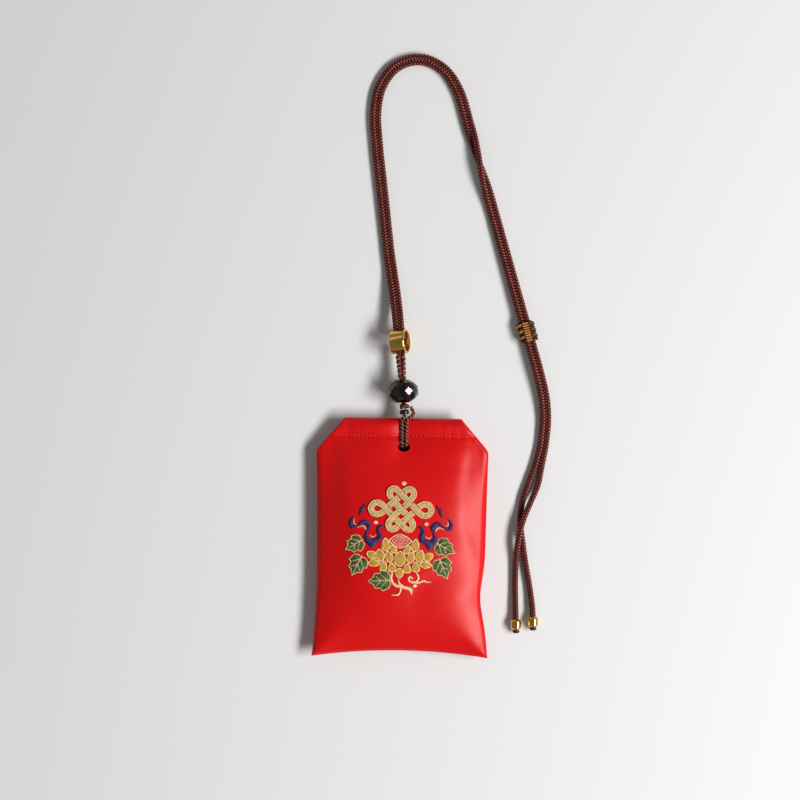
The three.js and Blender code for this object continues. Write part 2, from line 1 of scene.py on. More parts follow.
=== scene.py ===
"""Amulet pouch: a padded satin pouch on a doubled braided cord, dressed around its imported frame."""

import math

import bpy
import numpy as np
from bpy.props import FloatProperty, FloatVectorProperty, PointerProperty
from mathutils import Matrix, Vector
from mathutils.bvhtree import BVHTree


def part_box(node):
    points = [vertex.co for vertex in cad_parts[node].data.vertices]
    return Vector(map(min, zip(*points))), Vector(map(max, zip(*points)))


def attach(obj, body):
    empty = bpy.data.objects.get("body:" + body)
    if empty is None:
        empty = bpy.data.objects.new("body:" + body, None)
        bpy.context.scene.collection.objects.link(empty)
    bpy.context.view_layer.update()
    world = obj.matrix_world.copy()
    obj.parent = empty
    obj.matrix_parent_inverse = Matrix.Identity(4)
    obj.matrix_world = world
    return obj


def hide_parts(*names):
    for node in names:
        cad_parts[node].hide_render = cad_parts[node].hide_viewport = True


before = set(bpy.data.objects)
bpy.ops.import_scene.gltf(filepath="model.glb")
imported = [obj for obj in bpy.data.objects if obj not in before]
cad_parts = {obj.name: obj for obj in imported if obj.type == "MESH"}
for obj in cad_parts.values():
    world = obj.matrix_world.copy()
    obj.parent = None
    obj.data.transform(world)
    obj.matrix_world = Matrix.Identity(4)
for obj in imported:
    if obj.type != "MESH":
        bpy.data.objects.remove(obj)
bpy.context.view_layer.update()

bl_info = {
    "name": "Amulet Pouch",
    "version": (1, 0, 0),
    "blender": (4, 5, 0),
    "location": "View3D > Sidebar > Amulet",
    "description": "Builds a padded satin amulet pouch on a doubled braided cord",
    "category": "Add Mesh",
}

MM = 0.001
TAU = 2 * math.pi
QUARTER_TURN = math.pi / 2
TINY = 1e-12


# Sizes and colours that a user may change

def length(name, description, default):
    return FloatProperty(name=name, description=description, default=default, unit="LENGTH", precision=5)


def power(name, description, default):
    return FloatProperty(name=name, description=description, default=default, min=0, unit="POWER")


def colour(name, description, default):
    return FloatVectorProperty(
        name=name, description=description, default=default, subtype="COLOR", size=3, min=0, max=1
    )


class PouchSettings(bpy.types.PropertyGroup):
    height: length("Height", "Top edge to bottom corners", 0.0756)
    bottom_width: length("Bottom width", "Across the bottom corners", 0.056)
    waist_width: length("Waist width", "Across the narrowest part of the sides", 0.0536)
    shoulder_width: length("Shoulder width", "Across the top of the straight sides", 0.0548)
    shoulder_round: length("Shoulder round", "Softness of the corners at the shoulders", 0.0003)
    top_width: length("Top width", "Along the top edge", 0.0372)
    shoulder_drop: length("Shoulder drop", "Height of the slanting shoulders", 0.0103)
    bottom_rise: length("Bottom rise", "How far the bottom edge pulls up in its middle", 0.0017)
    corner_drop: length("Corner drop", "How far the bottom corners reach down", 0.0004)
    hem_depth: length("Hem depth", "Top edge to the closing seam", 0.0056)
    seam_plane: length("Seam plane", "Height of the side seams above the table", 0.0045)
    hem_half: length("Hem half thickness", "From the seam plane to either face of the hem", 0.00075)
    front_crown: length("Front crown", "How far the filling lifts the front", 0.00475)
    back_crown: length("Back crown", "How far the filling pushes the back", 0.0056)
    cloth: length("Cloth", "Thickness of the lined satin", 0.00045)
    satin: colour("Satin", "Red satin of both panels", (0.66, 0.0018, 0.0022))
    # Painted shade: the darker red that the weave lays between the threads.
    satin_shade: colour("Satin shade", "Red between the threads", (0.47, 0.0008, 0.0015))
    wadding: colour("Wadding", "Fibre filling", (0.82, 0.79, 0.72))


class ThreadSettings(bpy.types.PropertyGroup):
    pitch: length("Stitch pitch", "From one laid stitch to the next", 0.00027)
    thickness: length("Thread thickness", "Diameter of the embroidery thread", 0.00033)
    old_gold: colour("Old gold", "Endless knot", (0.62, 0.44, 0.16))
    pale_gold: colour("Pale gold", "Outlines, stems and dots", (0.90, 0.64, 0.36))
    petal_yellow: colour("Petal yellow", "Lotus petals", (0.55, 0.33, 0.014))
    leaf_green: colour("Leaf green", "Leaves", (0.046, 0.090, 0.010))
    vein: colour("Vein", "Veins and edges of the leaves", (0.66, 0.56, 0.27))
    ribbon_navy: colour("Ribbon navy", "Ribbons", (0.014, 0.014, 0.105))
    blossom: colour("Blossom", "Heart of the lotus and ribbon linings", (0.86, 0.36, 0.25))


class StringSettings(bpy.types.PropertyGroup):
    diameter: length("Diameter", "Thin string", 0.0012)
    # Painted light on the string: the first colour is painted shade between its plies, the second painted
    # highlight on their crowns.
    shade: colour("String", "Thin string between its flecks", (0.022, 0.004, 0.003))
    painted_highlight: colour("String fleck", "Light on the string's plies", (0.48, 0.16, 0.105))
    gold: colour("Gold", "Barrel and end beads", (0.86, 0.58, 0.17))
    smoke: colour("Smoky glass", "Faceted bead", (0.055, 0.014, 0.014))
    seed: colour("Seed glass", "Small dark bead", (0.006, 0.022, 0.016))


class StrapSettings(bpy.types.PropertyGroup):
    diameter: length("Diameter", "One strand of the strap", 0.00206)
    strand_pitch: length("Strand pitch", "Between the middles of the two strands", 0.00178)
    # Painted light on the cord: the first colour is painted shade between the braid's floats, the second
    # painted highlight on the floats.
    shade: colour("Cord", "Braid between its flecks", (0.010, 0.001, 0.0008))
    painted_highlight: colour("Cord fleck", "Light on the braid's floats", (0.74, 0.172, 0.124))
    # The slider thread's colour as lit, then its painted shade, used between the turns, on the round ends and
    # on the sleeve.
    wrap: colour("Slider wrap", "Thread round the slider", (0.56, 0.25, 0.075))
    wrap_shade: colour("Slider wrap shade", "Between the turns of the thread", (0.045, 0.012, 0.005))


class StageSettings(bpy.types.PropertyGroup):
    floor: colour("Floor", "Pale table", (0.74, 0.735, 0.73))
    view_width: length("View width", "Width of the picture at the pouch", 0.2544)
    key_power: power("Key lamp", "Soft lamp on the right", 17.5)
    fill_power: power("Fill lamp", "Soft lamp on the upper left", 0.4)


SETTINGS = {
    "amulet_pouch": PouchSettings,
    "amulet_thread": ThreadSettings,
    "amulet_string": StringSettings,
    "amulet_strap": StrapSettings,
    "amulet_stage": StageSettings,
}


# Finishes written as expressions on shader sockets

class Wire:
    """One shader socket that takes part in plain arithmetic."""

    def __init__(self, finish, socket):
        self.finish = finish
        self.socket = socket

    def __add__(self, other):
        return self.finish.math("ADD", self, other)

    __radd__ = __add__

    def __sub__(self, other):
        return self.finish.math("SUBTRACT", self, other)

    def __rsub__(self, other):
        return self.finish.math("SUBTRACT", other, self)

    def __mul__(self, other):
        return self.finish.math("MULTIPLY", self, other)

    __rmul__ = __mul__

    def __pow__(self, other):
        return self.finish.math("POWER", self, other)

    def sine(self):
        return self.finish.math("SINE", self)


class Finish:
    """A node tree that is filled by one method and by arithmetic on its wires."""

    def __init__(self, owner):
        owner.use_nodes = True
        self.owner = owner
        self.tree = owner.node_tree
        self.tree.nodes.clear()

    def node(self, kind, settings=None, values=None, out=0):
        made = self.tree.nodes.new(kind)
        for name, value in (settings or {}).items():
            setattr(made, name, value)
        for socket, value in (values or {}).items():
            if isinstance(value, Wire):
                self.tree.links.new(value.socket, made.inputs[socket])
            else:
                made.inputs[socket].default_value = value
        return Wire(self, made.outputs[out]) if len(made.outputs) else None

    def math(self, operation, *terms):
        return self.node("ShaderNodeMath", {"operation": operation}, dict(enumerate(terms)))

    def mix(self, share, low, high):
        values = {0: share, 6: solid(low), 7: solid(high)}
        return self.node("ShaderNodeMix", {"data_type": "RGBA"}, values, 2)

    def place(self):
        return self.node("ShaderNodeTexCoord", out="Object")

    def axis(self, vector, letter):
        return self.node("ShaderNodeSeparateXYZ", None, {0: vector}, letter)

    def noise(self, where, scale, detail=3.0):
        return self.node("ShaderNodeTexNoise", None, {"Vector": where, "Scale": scale, "Detail": detail})

    def kept(self, name):
        return self.node("ShaderNodeAttribute", {"attribute_name": name}, out="Fac")

    def bump(self, height, strength, distance):
        values = {"Strength": strength, "Distance": distance, "Height": height}
        return self.node("ShaderNodeBump", None, values, "Normal")

    def surface(self, **sockets):
        values = {name.replace("_", " "): solid(value) for name, value in sockets.items()}
        shader = self.node("ShaderNodeBsdfPrincipled", None, values)
        self.node("ShaderNodeOutputMaterial", None, {"Surface": shader})
        return self.owner


def solid(value):
    """A colour of three numbers gets its fourth, and anything else stays as it is."""
    if isinstance(value, (Wire, int, float)):
        return value
    return (*tuple(value)[:3], 1.0)


def finish(name):
    return Finish(bpy.data.materials.new(name))


def shaded(tone, share, lift=0.0):
    """A colour made darker or lighter by a share, and lifted a little."""
    return [min(1.0, share * part + lift) for part in tone]


WEFT_PITCH = 0.00021
WARP_PITCH = 0.00031
CARD_RIB_PITCH = 0.0012
GOLD_DEPTHS = (0.86, 0.74, 0.55)


def satin_finish(name, light, dark):
    made = finish(name)
    where = made.place()
    weft = (made.axis(where, "Y") * (TAU / WEFT_PITCH)).sine()
    warp = (made.axis(where, "X") * (TAU / WARP_PITCH)).sine()
    slub = made.noise(where, 950.0, 4.0)
    cloud = made.noise(where, 60.0)
    weave = weft * 0.34 + warp * 0.16 + slub * 0.5
    # The colour darkens in the weave's grooves as painted shade between the threads; the cloud is random
    # tone.
    share = weave * 0.22 + cloud * 0.35 + 0.48
    return made.surface(
        Base_Color=made.mix(share, dark, light),
        Roughness=weave * 0.06 + cloud * 0.05 + 0.34,
        Specular_IOR_Level=0.33,
        Specular_Tint=(1.0, 0.84, 0.82),
        Normal=made.bump(weave, 0.16, 0.00006),
    )


def thread_finish(name, tone, roughness=0.42):
    made = finish(name)
    fibre = made.noise(made.place(), 5200.0, 2.0)
    share = made.kept("tint") * 0.75 + fibre * 0.25
    return made.surface(
        Base_Color=made.mix(share, shaded(tone, 0.62), shaded(tone, 1.22, 0.01)),
        Roughness=fibre * 0.16 + (roughness - 0.08),
        Specular_IOR_Level=0.36,
        Normal=made.bump(fibre, 0.25, 0.00005),
    )


def ply_finish(name, dark, light, roughness=0.55, peak=1.6):
    made = finish(name)
    where = made.place()
    fibre = made.noise(where, 4200.0, 3.0)
    worn = made.noise(where, 420.0, 2.0)
    # Painted light: the crown share lights the tops of plies and floats and paints shade between them; worn
    # and fibre vary it at random.
    crown = made.kept("crown")
    share = (crown ** peak) * (worn * 0.9 + 0.35) * (fibre * 0.6 + 0.7)
    return made.surface(
        Base_Color=made.mix(share, dark, light),
        Roughness=fibre * 0.18 + (roughness - 0.09),
        Specular_IOR_Level=0.12,
        Normal=made.bump(fibre, 0.35, 0.00008),
    )


def gold_finish(name, tone):
    made = finish(name)
    where = made.place()
    brushed = made.noise(where, 900.0, 4.0)
    cloud = made.noise(where, 160.0, 2.0)
    deep = [part * depth for part, depth in zip(tone, GOLD_DEPTHS)]
    return made.surface(
        Base_Color=made.mix(cloud * 0.7 + brushed * 0.3, deep, tone),
        Metallic=1.0,
        Roughness=brushed * 0.10 + cloud * 0.06 + 0.07,
        Normal=made.bump(brushed, 0.05, 0.00004),
    )


def glass_finish(name, tone, through, roughness=0.01):
    made = finish(name)
    cloud = made.noise(made.place(), 260.0, 2.0)
    return made.surface(
        Base_Color=made.mix(cloud, shaded(tone, 0.7), tone),
        Roughness=cloud * 0.015 + roughness,
        Transmission_Weight=through,
        IOR=1.56,
        Specular_IOR_Level=0.3,
    )


def fibre_finish(name, tone):
    made = finish(name)
    where = made.place()
    tangle = made.noise(where, 1400.0, 6.0)
    lump = made.noise(where, 180.0, 2.0)
    return made.surface(
        Base_Color=made.mix(tangle * 0.6 + lump * 0.4, shaded(tone, 0.72), tone),
        Roughness=tangle * 0.1 + 0.85,
        Normal=made.bump(tangle * 0.7 + lump * 0.3, 0.7, 0.0004),
    )


def paper_finish(name, tone):
    made = finish(name)
    where = made.place()
    grain = made.noise(where, 2600.0, 4.0)
    ribs = (made.axis(where, "Y") * (TAU / CARD_RIB_PITCH)).sine() * 0.5 + 0.5
    return made.surface(
        Base_Color=made.mix(grain * 0.5 + ribs * 0.3 + 0.2, shaded(tone, 0.7), tone),
        Metallic=0.6,
        Roughness=grain * 0.2 + 0.35,
        Normal=made.bump(ribs * 0.6 + grain * 0.4, 0.3, 0.0001),
    )


def tip_finish(name, tone):
    made = finish(name)
    melt = made.noise(made.place(), 1300.0, 3.0)
    return made.surface(
        Base_Color=made.mix(melt ** 2.0, tone, shaded(tone, 2.6)),
        Roughness=melt * 0.3 + 0.25,
        Normal=made.bump(melt, 0.5, 0.0002),
    )


# Selecting, making and finishing pieces

MERGE = 1e-6
STITCH_MERGE = 1e-8


def clear_selection():
    if bpy.context.object and bpy.context.object.mode != "OBJECT":
        bpy.ops.object.mode_set(mode="OBJECT")
    bpy.ops.object.select_all(action="DESELECT")


def pick(piece):
    clear_selection()
    piece.select_set(True)
    bpy.context.view_layer.objects.active = piece


def added(name):
    """The object that the last primitive operator added, under its own name."""
    piece = bpy.context.object
    piece.name = piece.data.name = name
    return piece


def shape_mode(piece):
    """Opens a piece in edit mode with all its points selected."""
    pick(piece)
    bpy.ops.object.mode_set(mode="EDIT")
    bpy.ops.mesh.select_mode(type="VERT")
    bpy.ops.mesh.select_all(action="SELECT")


def apply_all(piece):
    """Applies every modifier and puts the piece's place into its mesh."""
    pick(piece)
    for modifier in list(piece.modifiers):
        bpy.ops.object.modifier_apply(modifier=modifier.name)
    bpy.ops.object.transform_apply(location=True, rotation=True, scale=True)


def clean_normals(piece, merge=MERGE):
    """Merges points that lie together and turns every face outwards."""
    shape_mode(piece)
    bpy.ops.mesh.remove_doubles(threshold=merge)
    bpy.ops.mesh.normals_make_consistent(inside=False)
    bpy.ops.object.mode_set(mode="OBJECT")


def mesh_piece(name, points, faces, edges=(), **kept):
    """A piece from points in metres, with any kept numbers stored on its points."""
    mesh = bpy.data.meshes.new(name)
    mesh.from_pydata(np.asarray(points).tolist(), edges, faces)
    for label, numbers in kept.items():
        stored = mesh.attributes.new(label, "FLOAT", "POINT")
        stored.data.foreach_set("value", np.asarray(numbers, np.float32).ravel())
    piece = bpy.data.objects.new(name, mesh)
    bpy.context.scene.collection.objects.link(piece)
    return piece


def dress(piece, material, body, slot, *nodes, smooth=None):
    """Gives a finished piece its material and shading, and seats it on the frame."""
    piece.data.materials.clear()
    piece.data.materials.append(material)
    pick(piece)
    if smooth is None:
        bpy.ops.object.shade_smooth()
    else:
        bpy.ops.object.shade_smooth_by_angle(angle=math.radians(smooth))
    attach(piece, body)
    if nodes:
        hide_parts(*nodes)


def turned(name, profile, steps):
    """A closed profile of (radius, height) points spun round +Y."""
    points = [(radius, height, 0.0) for radius, height in profile]
    count = len(points)
    piece = mesh_piece(name, points, [], [(k, (k + 1) % count) for k in range(count)])
    shape_mode(piece)
    bpy.ops.mesh.spin(steps=steps, angle=TAU, center=(0, 0, 0), axis=(0, 1, 0))
    bpy.ops.object.mode_set(mode="OBJECT")
    clean_normals(piece)
    return piece


def seat(piece, matrix):
    """Puts a piece that was made round the origin into its place."""
    piece.matrix_world = matrix
    apply_all(piece)
    return piece


def round_punch(name, **sizes):
    clear_selection()
    bpy.ops.mesh.primitive_cylinder_add(**sizes)
    return added(name)


def cut_away(piece, *punches):
    """Cuts each punch out of a piece, and removes the punches."""
    pick(piece)
    for punch in punches:
        cut = piece.modifiers.new(punch.name, "BOOLEAN")
        cut.operation = "DIFFERENCE"
        cut.solver = "EXACT"
        cut.object = punch
    apply_all(piece)
    for punch in punches:
        bpy.data.objects.remove(punch)


# Lines and tubes

SPAN_POINTS = 24
UPRIGHT = 1e-3
KNOT_POINTS = 160


def smooth_line(points, step, closed=False):
    """Points a step apart on a smooth line through the given ones."""
    given = np.asarray(points, float)
    if closed:
        knots = np.vstack([given[-1], given, given[0], given[1]])
    else:
        knots = np.vstack([2 * given[0] - given[1], given, 2 * given[-1] - given[-2]])
    share = np.linspace(0, 1, SPAN_POINTS, endpoint=False)[:, None]
    spans = []
    for before, start, end, after in zip(knots, knots[1:], knots[2:], knots[3:]):
        pairs = ((before, start), (start, end), (end, after))
        one, two, three = (max(np.linalg.norm(b - a), TINY) ** 0.5 for a, b in pairs)
        leave = ((start - before) / one - (end - before) / (one + two) + (end - start) / two) * two
        arrive = ((end - start) / two - (after - start) / (two + three) + (after - end) / three) * two
        bend = 3 * (end - start) - 2 * leave - arrive
        curl = 2 * (start - end) + leave + arrive
        spans.append(start + share * leave + share**2 * bend + share**3 * curl)
    spans.append(knots[-2][None, :])
    return spaced_line(np.vstack(spans), step)


def lengths_along(line):
    return np.concatenate([[0.0], np.cumsum(np.linalg.norm(np.diff(line, axis=0), axis=1))])


def spaced_line(line, step):
    """The same line with its points evenly spaced, about a step apart."""
    gone = lengths_along(line)
    count = max(2, round(gone[-1] / step))
    stops = np.linspace(0, gone[-1], count + 1)
    return np.column_stack([np.interp(stops, gone, line[:, k]) for k in range(line.shape[1])])


def unit(vectors):
    return vectors / np.maximum(np.linalg.norm(vectors, axis=-1, keepdims=True), TINY)


def sides_of(line, closed=False):
    """Two directions across each point of a line, carried along it without twist."""
    if closed:
        ahead = unit(np.roll(line, -1, axis=0) - np.roll(line, 1, axis=0))
    else:
        ahead = unit(np.gradient(line, axis=0))
    across = np.zeros_like(line)
    start = np.cross(ahead[0], (0.0, 0.0, 1.0))
    if np.linalg.norm(start) < UPRIGHT:
        start = np.cross(ahead[0], (1.0, 0.0, 0.0))
    across[0] = unit(start)
    for k in range(1, len(line)):
        carried = across[k - 1] - ahead[k] * np.dot(across[k - 1], ahead[k])
        across[k] = unit(carried)
    return across, np.cross(across, ahead)


def tube_points(line, radius, sides, closed=False):
    """Rings of points round a line. radius(turn, along) gives each point's distance."""
    across, over = sides_of(line, closed)
    turn = np.arange(sides) * TAU / sides
    along = lengths_along(line)[:, None]
    reach, crown = radius(turn[None, :], along)
    ring = np.cos(turn)[None, :, None] * across[:, None, :] + np.sin(turn)[None, :, None] * over[:, None, :]
    return (line[:, None, :] + ring * reach[:, :, None]).reshape(-1, 3), crown.ravel()


def tube_faces(rings, sides, closed=False, first=0):
    faces = []
    for row in range(rings if closed else rings - 1):
        a = first + row * sides
        b = first + ((row + 1) % rings) * sides
        faces += [(a + k, a + (k + 1) % sides, b + (k + 1) % sides, b + k) for k in range(sides)]
    if not closed:
        last = first + (rings - 1) * sides
        faces.append(tuple(first + k for k in reversed(range(sides))))
        faces.append(tuple(last + k for k in range(sides)))
    return faces


def tubes(name, lines, radius, sides, closed=False):
    """One piece of one or more tubes, with the painted light and shade on their plies kept on their points as
    crown.
    """
    points, crowns, faces = [], [], []
    first = 0
    for line in lines:
        rings, crown = tube_points(line, radius, sides, closed)
        faces += tube_faces(len(line), sides, closed, first)
        points.append(rings)
        crowns.append(crown)
        first += len(rings)
    return mesh_piece(name, np.vstack(points), faces, crown=np.concatenate(crowns))


def plies(diameter, count=3, depth=0.30, pitch=0.0030):
    """Radius of a twisted string: count plies that turn once in a pitch, with painted light on each ply's
    crown.
    """
    half = diameter / 2

    def radius(turn, along):
        crown = np.abs(np.cos(count / 2 * (turn - TAU * along / pitch)))
        return half * (1 - depth + depth * crown**0.8), crown

    return radius


CORD_ROW = 0.00096
CORD_LEAN = 0.75
CORD_STAGGER = 0.5
CORD_GROOVE = 0.03


def braided(diameter, columns=4, depth=0.15):
    """Radius of a round braid: staggered columns of floats that lean by turns to either side, with painted
    light on the floats and painted shade between them.
    """
    half = diameter / 2

    def radius(turn, along):
        column = np.floor(columns * turn / TAU)
        across = columns * turn / TAU - column
        odd = np.mod(column, 2)
        lean = np.where(odd < 1, across, 1 - across)
        float_at = np.mod(along / CORD_ROW + CORD_LEAN * lean + CORD_STAGGER * odd, 1)
        beside = np.clip(across, CORD_GROOVE, 1 - CORD_GROOVE)
        crown = np.sin(np.pi * float_at) ** 1.5 * np.sin(np.pi * beside) ** 0.28
        return half * (1 - depth + depth * crown), crown

    return radius


def plain(diameter, light):
    """Radius of a smooth thread, with one level of painted light all over."""

    def radius(turn, along):
        level = np.ones_like(turn + along)
        return level * diameter / 2, level * light

    return radius


def knotted(width, height, thread):
    """A small round knot: one line that goes twice round while it weaves three times."""
    spread = (height - thread) / 2
    middle = (width - thread) / 2 - spread
    t = np.linspace(0, TAU, KNOT_POINTS, endpoint=False)
    out = middle + spread * np.cos(3 * t)
    return np.column_stack([out * np.cos(2 * t), spread * np.sin(3 * t), out * np.sin(2 * t)])


# Pouch shape

PANEL_COLUMNS = 72
PANEL_ROWS = 84
PANEL_ROW_MIX = (0.55, 0.45)
HEM_ROWS = 16
HEM_ROW_MIX = (0.4, 0.6)
FLOOR_CLEAR = 0.00002
SEAM_HAIR = 0.00002
WAIST_AT = 0.3
EDGE_REACH = 0.33
BOTTOM_REACH = 0.25
EDGE_ROUND = 1.5 * MM
HOLE_CENTRE = (0.45 * MM, 28.6 * MM)
HOLE_SIZE = (3.8 * MM, 2.9 * MM)
STITCH_DENT = 0.22 * MM
STITCH_DENT_REACH = 0.7 * MM
HEM_ROLL = 0.45 * MM
STRING_FOLD = 1.3 * MM
STRING_FOLD_FLOOR = 1.2 * MM
STRING_FOLD_RUN = (3.2 * MM, 9.6 * MM)
STRING_FOLD_SPAN = (18 * MM, 26 * MM)
STRING_FOLD_BELOW = 6 * MM
STRING_FOLD_FADE = 2 * MM
PINCH_HEIGHT = 0.7 * MM
PINCH_RUN = 5 * MM
PINCH_WIDTH = 1.2 * MM
PINCH_SPREAD = 0.25
SIDE_DENT = 1.4 * MM
SIDE_DENT_AT = -19 * MM
SIDE_DENT_HEIGHT = 8 * MM
SIDE_CREASE = 0.28 * MM
SIDE_CREASE_HEIGHT = 1.9 * MM
SIDE_CREASE_FROM = (0.66, 0.92)
GATHER = 0.05 * MM
GATHER_REACH = 2.6 * MM
GATHER_PITCH = 2.7 * MM
GATHER_WANDER = 2.2
GATHER_FROM_HOLE = (0.002, 0.004)


def share_of(value, low, high):
    """0 up to the low value, 1 from the high one, and even between them."""
    return np.clip((value - low) / (high - low), 0, 1)


def rounded_over(near, reach):
    """0 on an edge and 1 from the reach inwards, by a quarter of a circle."""
    return np.sqrt(np.clip(1 - (1 - np.clip(near / reach, 0, 1)) ** 2, 0, 1))


def bell(value, middle, reach):
    """1 at the middle, falling away to either side of it."""
    return np.exp(-(((value - middle) / reach) ** 2))


class PouchForm:
    """The pouch's outline and surfaces, by u across it and v up it."""

    def __init__(self, sizes):
        self.sizes = sizes
        self.shoulder_at = 1 - sizes.shoulder_drop / sizes.height
        self.hem_at = 1 - sizes.hem_depth / sizes.height

    def half_width(self, v):
        """Half of the pouch's width at v, with softened shoulders."""
        s = self.sizes
        below = np.maximum(WAIST_AT - v, 0) / WAIST_AT
        above = np.maximum(v - WAIST_AT, 0) / (self.shoulder_at - WAIST_AT)
        side = s.waist_width + (s.bottom_width - s.waist_width) * below**2
        side = side + (s.shoulder_width - s.waist_width) * above**2
        up = (v - self.shoulder_at) / (1 - self.shoulder_at)
        slant = s.shoulder_width + (s.top_width - s.shoulder_width) * up
        apart = np.abs(side - slant) / 2 / s.shoulder_round
        return np.minimum(side, slant) / 2 - s.shoulder_round * np.log(1 + np.exp(-apart))

    def spot(self, u, v):
        """x and y of a place, with the right side's dent."""
        s = self.sizes
        bottom = -s.height / 2 + s.bottom_rise * (1 - u**2) - s.corner_drop * u**2
        y = bottom + (s.height / 2 - bottom) * v
        dent = SIDE_DENT * np.maximum(u, 0) ** 4 * bell(y, SIDE_DENT_AT, SIDE_DENT_HEIGHT)
        return u * self.half_width(v) - dent, y

    def swell(self, u, v):
        """How far the filling lifts a place, from 0 on the edges to 1."""
        across = np.maximum(np.cos(QUARTER_TURN * np.abs(u) ** 1.6), 0) ** 0.7
        from_bottom = np.sin(QUARTER_TURN * share_of(v, 0, BOTTOM_REACH)) ** 0.75
        from_hem = np.sin(QUARTER_TURN * share_of(self.hem_at - v, 0, EDGE_REACH)) ** 1.1
        return across * from_bottom * from_hem

    def rim(self, u, v, reach=EDGE_ROUND):
        """0 on the outline and 1 inside it, rounded over as a sewn edge is."""
        side = (1 - np.abs(u)) * self.half_width(v)
        near = np.minimum(side, np.minimum(v, 1 - v) * self.sizes.height)
        return rounded_over(near, reach)

    def hem_folds(self, x, y):
        """The closing seam's dent, the hem's roll and the crease under the string."""
        top = self.sizes.height / 2
        line = top - self.sizes.hem_depth
        roll = HEM_ROLL * np.sin(np.pi * share_of(y, line, top)) ** 0.8
        side = np.abs(x - HOLE_CENTRE[0])
        away = np.maximum(side - STRING_FOLD_FLOOR, 0)
        right = x > HOLE_CENTRE[0]
        run, span = (np.where(right, sizes[1], sizes[0]) for sizes in (STRING_FOLD_RUN, STRING_FOLD_SPAN))
        across = (1 - np.exp(-away / run)) * np.clip(1 - (side / span) ** 2, 0, 1)
        up = share_of(y, HOLE_CENTRE[1] - STRING_FOLD_BELOW, HOLE_CENTRE[1])
        fold = STRING_FOLD * across * up * share_of(top - y, 0, STRING_FOLD_FADE)
        gather = GATHER * np.sin(TAU * x / GATHER_PITCH + GATHER_WANDER * np.sin(x / GATHER_REACH / 2))
        gather = gather * np.exp(-np.abs(y - line) / GATHER_REACH) * share_of(side, *GATHER_FROM_HOLE)
        return roll + fold + gather - STITCH_DENT * bell(y, line, STITCH_DENT_REACH)

    def corner_pinch(self, x, y):
        """A ridge that runs in from each bottom corner."""
        from_side = self.sizes.bottom_width / 2 - np.abs(x)
        from_bottom = y + self.sizes.height / 2 + self.sizes.corner_drop
        along = np.maximum(from_side + from_bottom, 0) / math.sqrt(2)
        across = (from_side - from_bottom) / math.sqrt(2)
        rise = along / PINCH_RUN * np.exp(1 - along / PINCH_RUN)
        return PINCH_HEIGHT * rise * bell(across, 0, PINCH_WIDTH + PINCH_SPREAD * along)

    def front(self, u, v):
        s = self.sizes
        x, y = self.spot(u, v)
        crease = bell(y, SIDE_DENT_AT, SIDE_CREASE_HEIGHT) * share_of(u, *SIDE_CREASE_FROM)
        folds = self.hem_folds(x, y) + self.corner_pinch(x, y) - SIDE_CREASE * crease
        lift = s.hem_half + s.front_crown * self.swell(u, v) + folds
        return x, y, s.seam_plane + lift * self.rim(u, v)

    def back(self, u, v):
        s = self.sizes
        x, y = self.spot(u, v)
        drop = s.hem_half + s.back_crown * self.swell(u, v)
        return x, y, np.maximum(s.seam_plane - drop * self.rim(u, v), FLOOR_CLEAR)


def panel_grid(form):
    """u and v of a panel's points, closer together near the seams and the hem."""
    u = np.sin(QUARTER_TURN * np.linspace(-1, 1, PANEL_COLUMNS + 1))
    t = np.linspace(0, 1, PANEL_ROWS + 1)
    even, bunched = PANEL_ROW_MIX
    body = form.hem_at * (even * t + bunched * (1 - np.cos(np.pi * t)) / 2)
    h = np.linspace(0, 1, HEM_ROWS + 1)[1:]
    even, bunched = HEM_ROW_MIX
    hem = form.hem_at + (1 - form.hem_at) * (even * h + bunched * np.sin(QUARTER_TURN * h))
    return np.meshgrid(u, np.concatenate([body, hem]))


def grid_faces(index, flip=False):
    """Faces between the points of a grid of point numbers."""
    a, b = index[:-1, :-1].ravel(), index[:-1, 1:].ravel()
    c, d = index[1:, 1:].ravel(), index[1:, :-1].ravel()
    rows = np.column_stack([a, d, c, b] if flip else [a, b, c, d])
    return [tuple(row) for row in rows.tolist()]


def closed_shell(name, top, bottom):
    """One closed piece of two grids that share their outer points, and how it is numbered."""
    inside = np.zeros(top.shape[:2], bool)
    inside[1:-1, 1:-1] = True
    upper = np.arange(inside.size).reshape(inside.shape)
    lower = upper.copy()
    lower[inside] = inside.size + np.arange(inside.sum())
    points = np.vstack([top.reshape(-1, 3), bottom[inside]])
    piece = mesh_piece(name, points, grid_faces(upper) + grid_faces(lower, flip=True))
    return piece, upper, lower, inside


# Settling the pouch as cloth: what is held, and in mm how far in the seams pull

SIM_SCALE = 10.0
SIM_FRAMES = 22
SIM_CAP = 0.00045
SIM_CALM = 26
SIM_EDGE = 3 * MM
HOLD_BELOW_HEM = 0.012
HOLD_EDGE = 0.6
HOLD_ROUND_HOLE = 0.004
PULL_REACH = 1.2
PULL_ACROSS = 27
PULL_UP = 75
SIM_CLOTH = {
    "quality": 7,
    "mass": 0.25,
    "tension_stiffness": 18,
    "compression_stiffness": 10,
    "shear_stiffness": 6,
    "bending_stiffness": 0.35,
    "use_pressure": True,
    "uniform_pressure_force": 0.8,
    "vertex_group_mass": "held",
    "vertex_group_shrink": "seam",
    "shrink_min": 0.0,
    "shrink_max": 0.05,
}


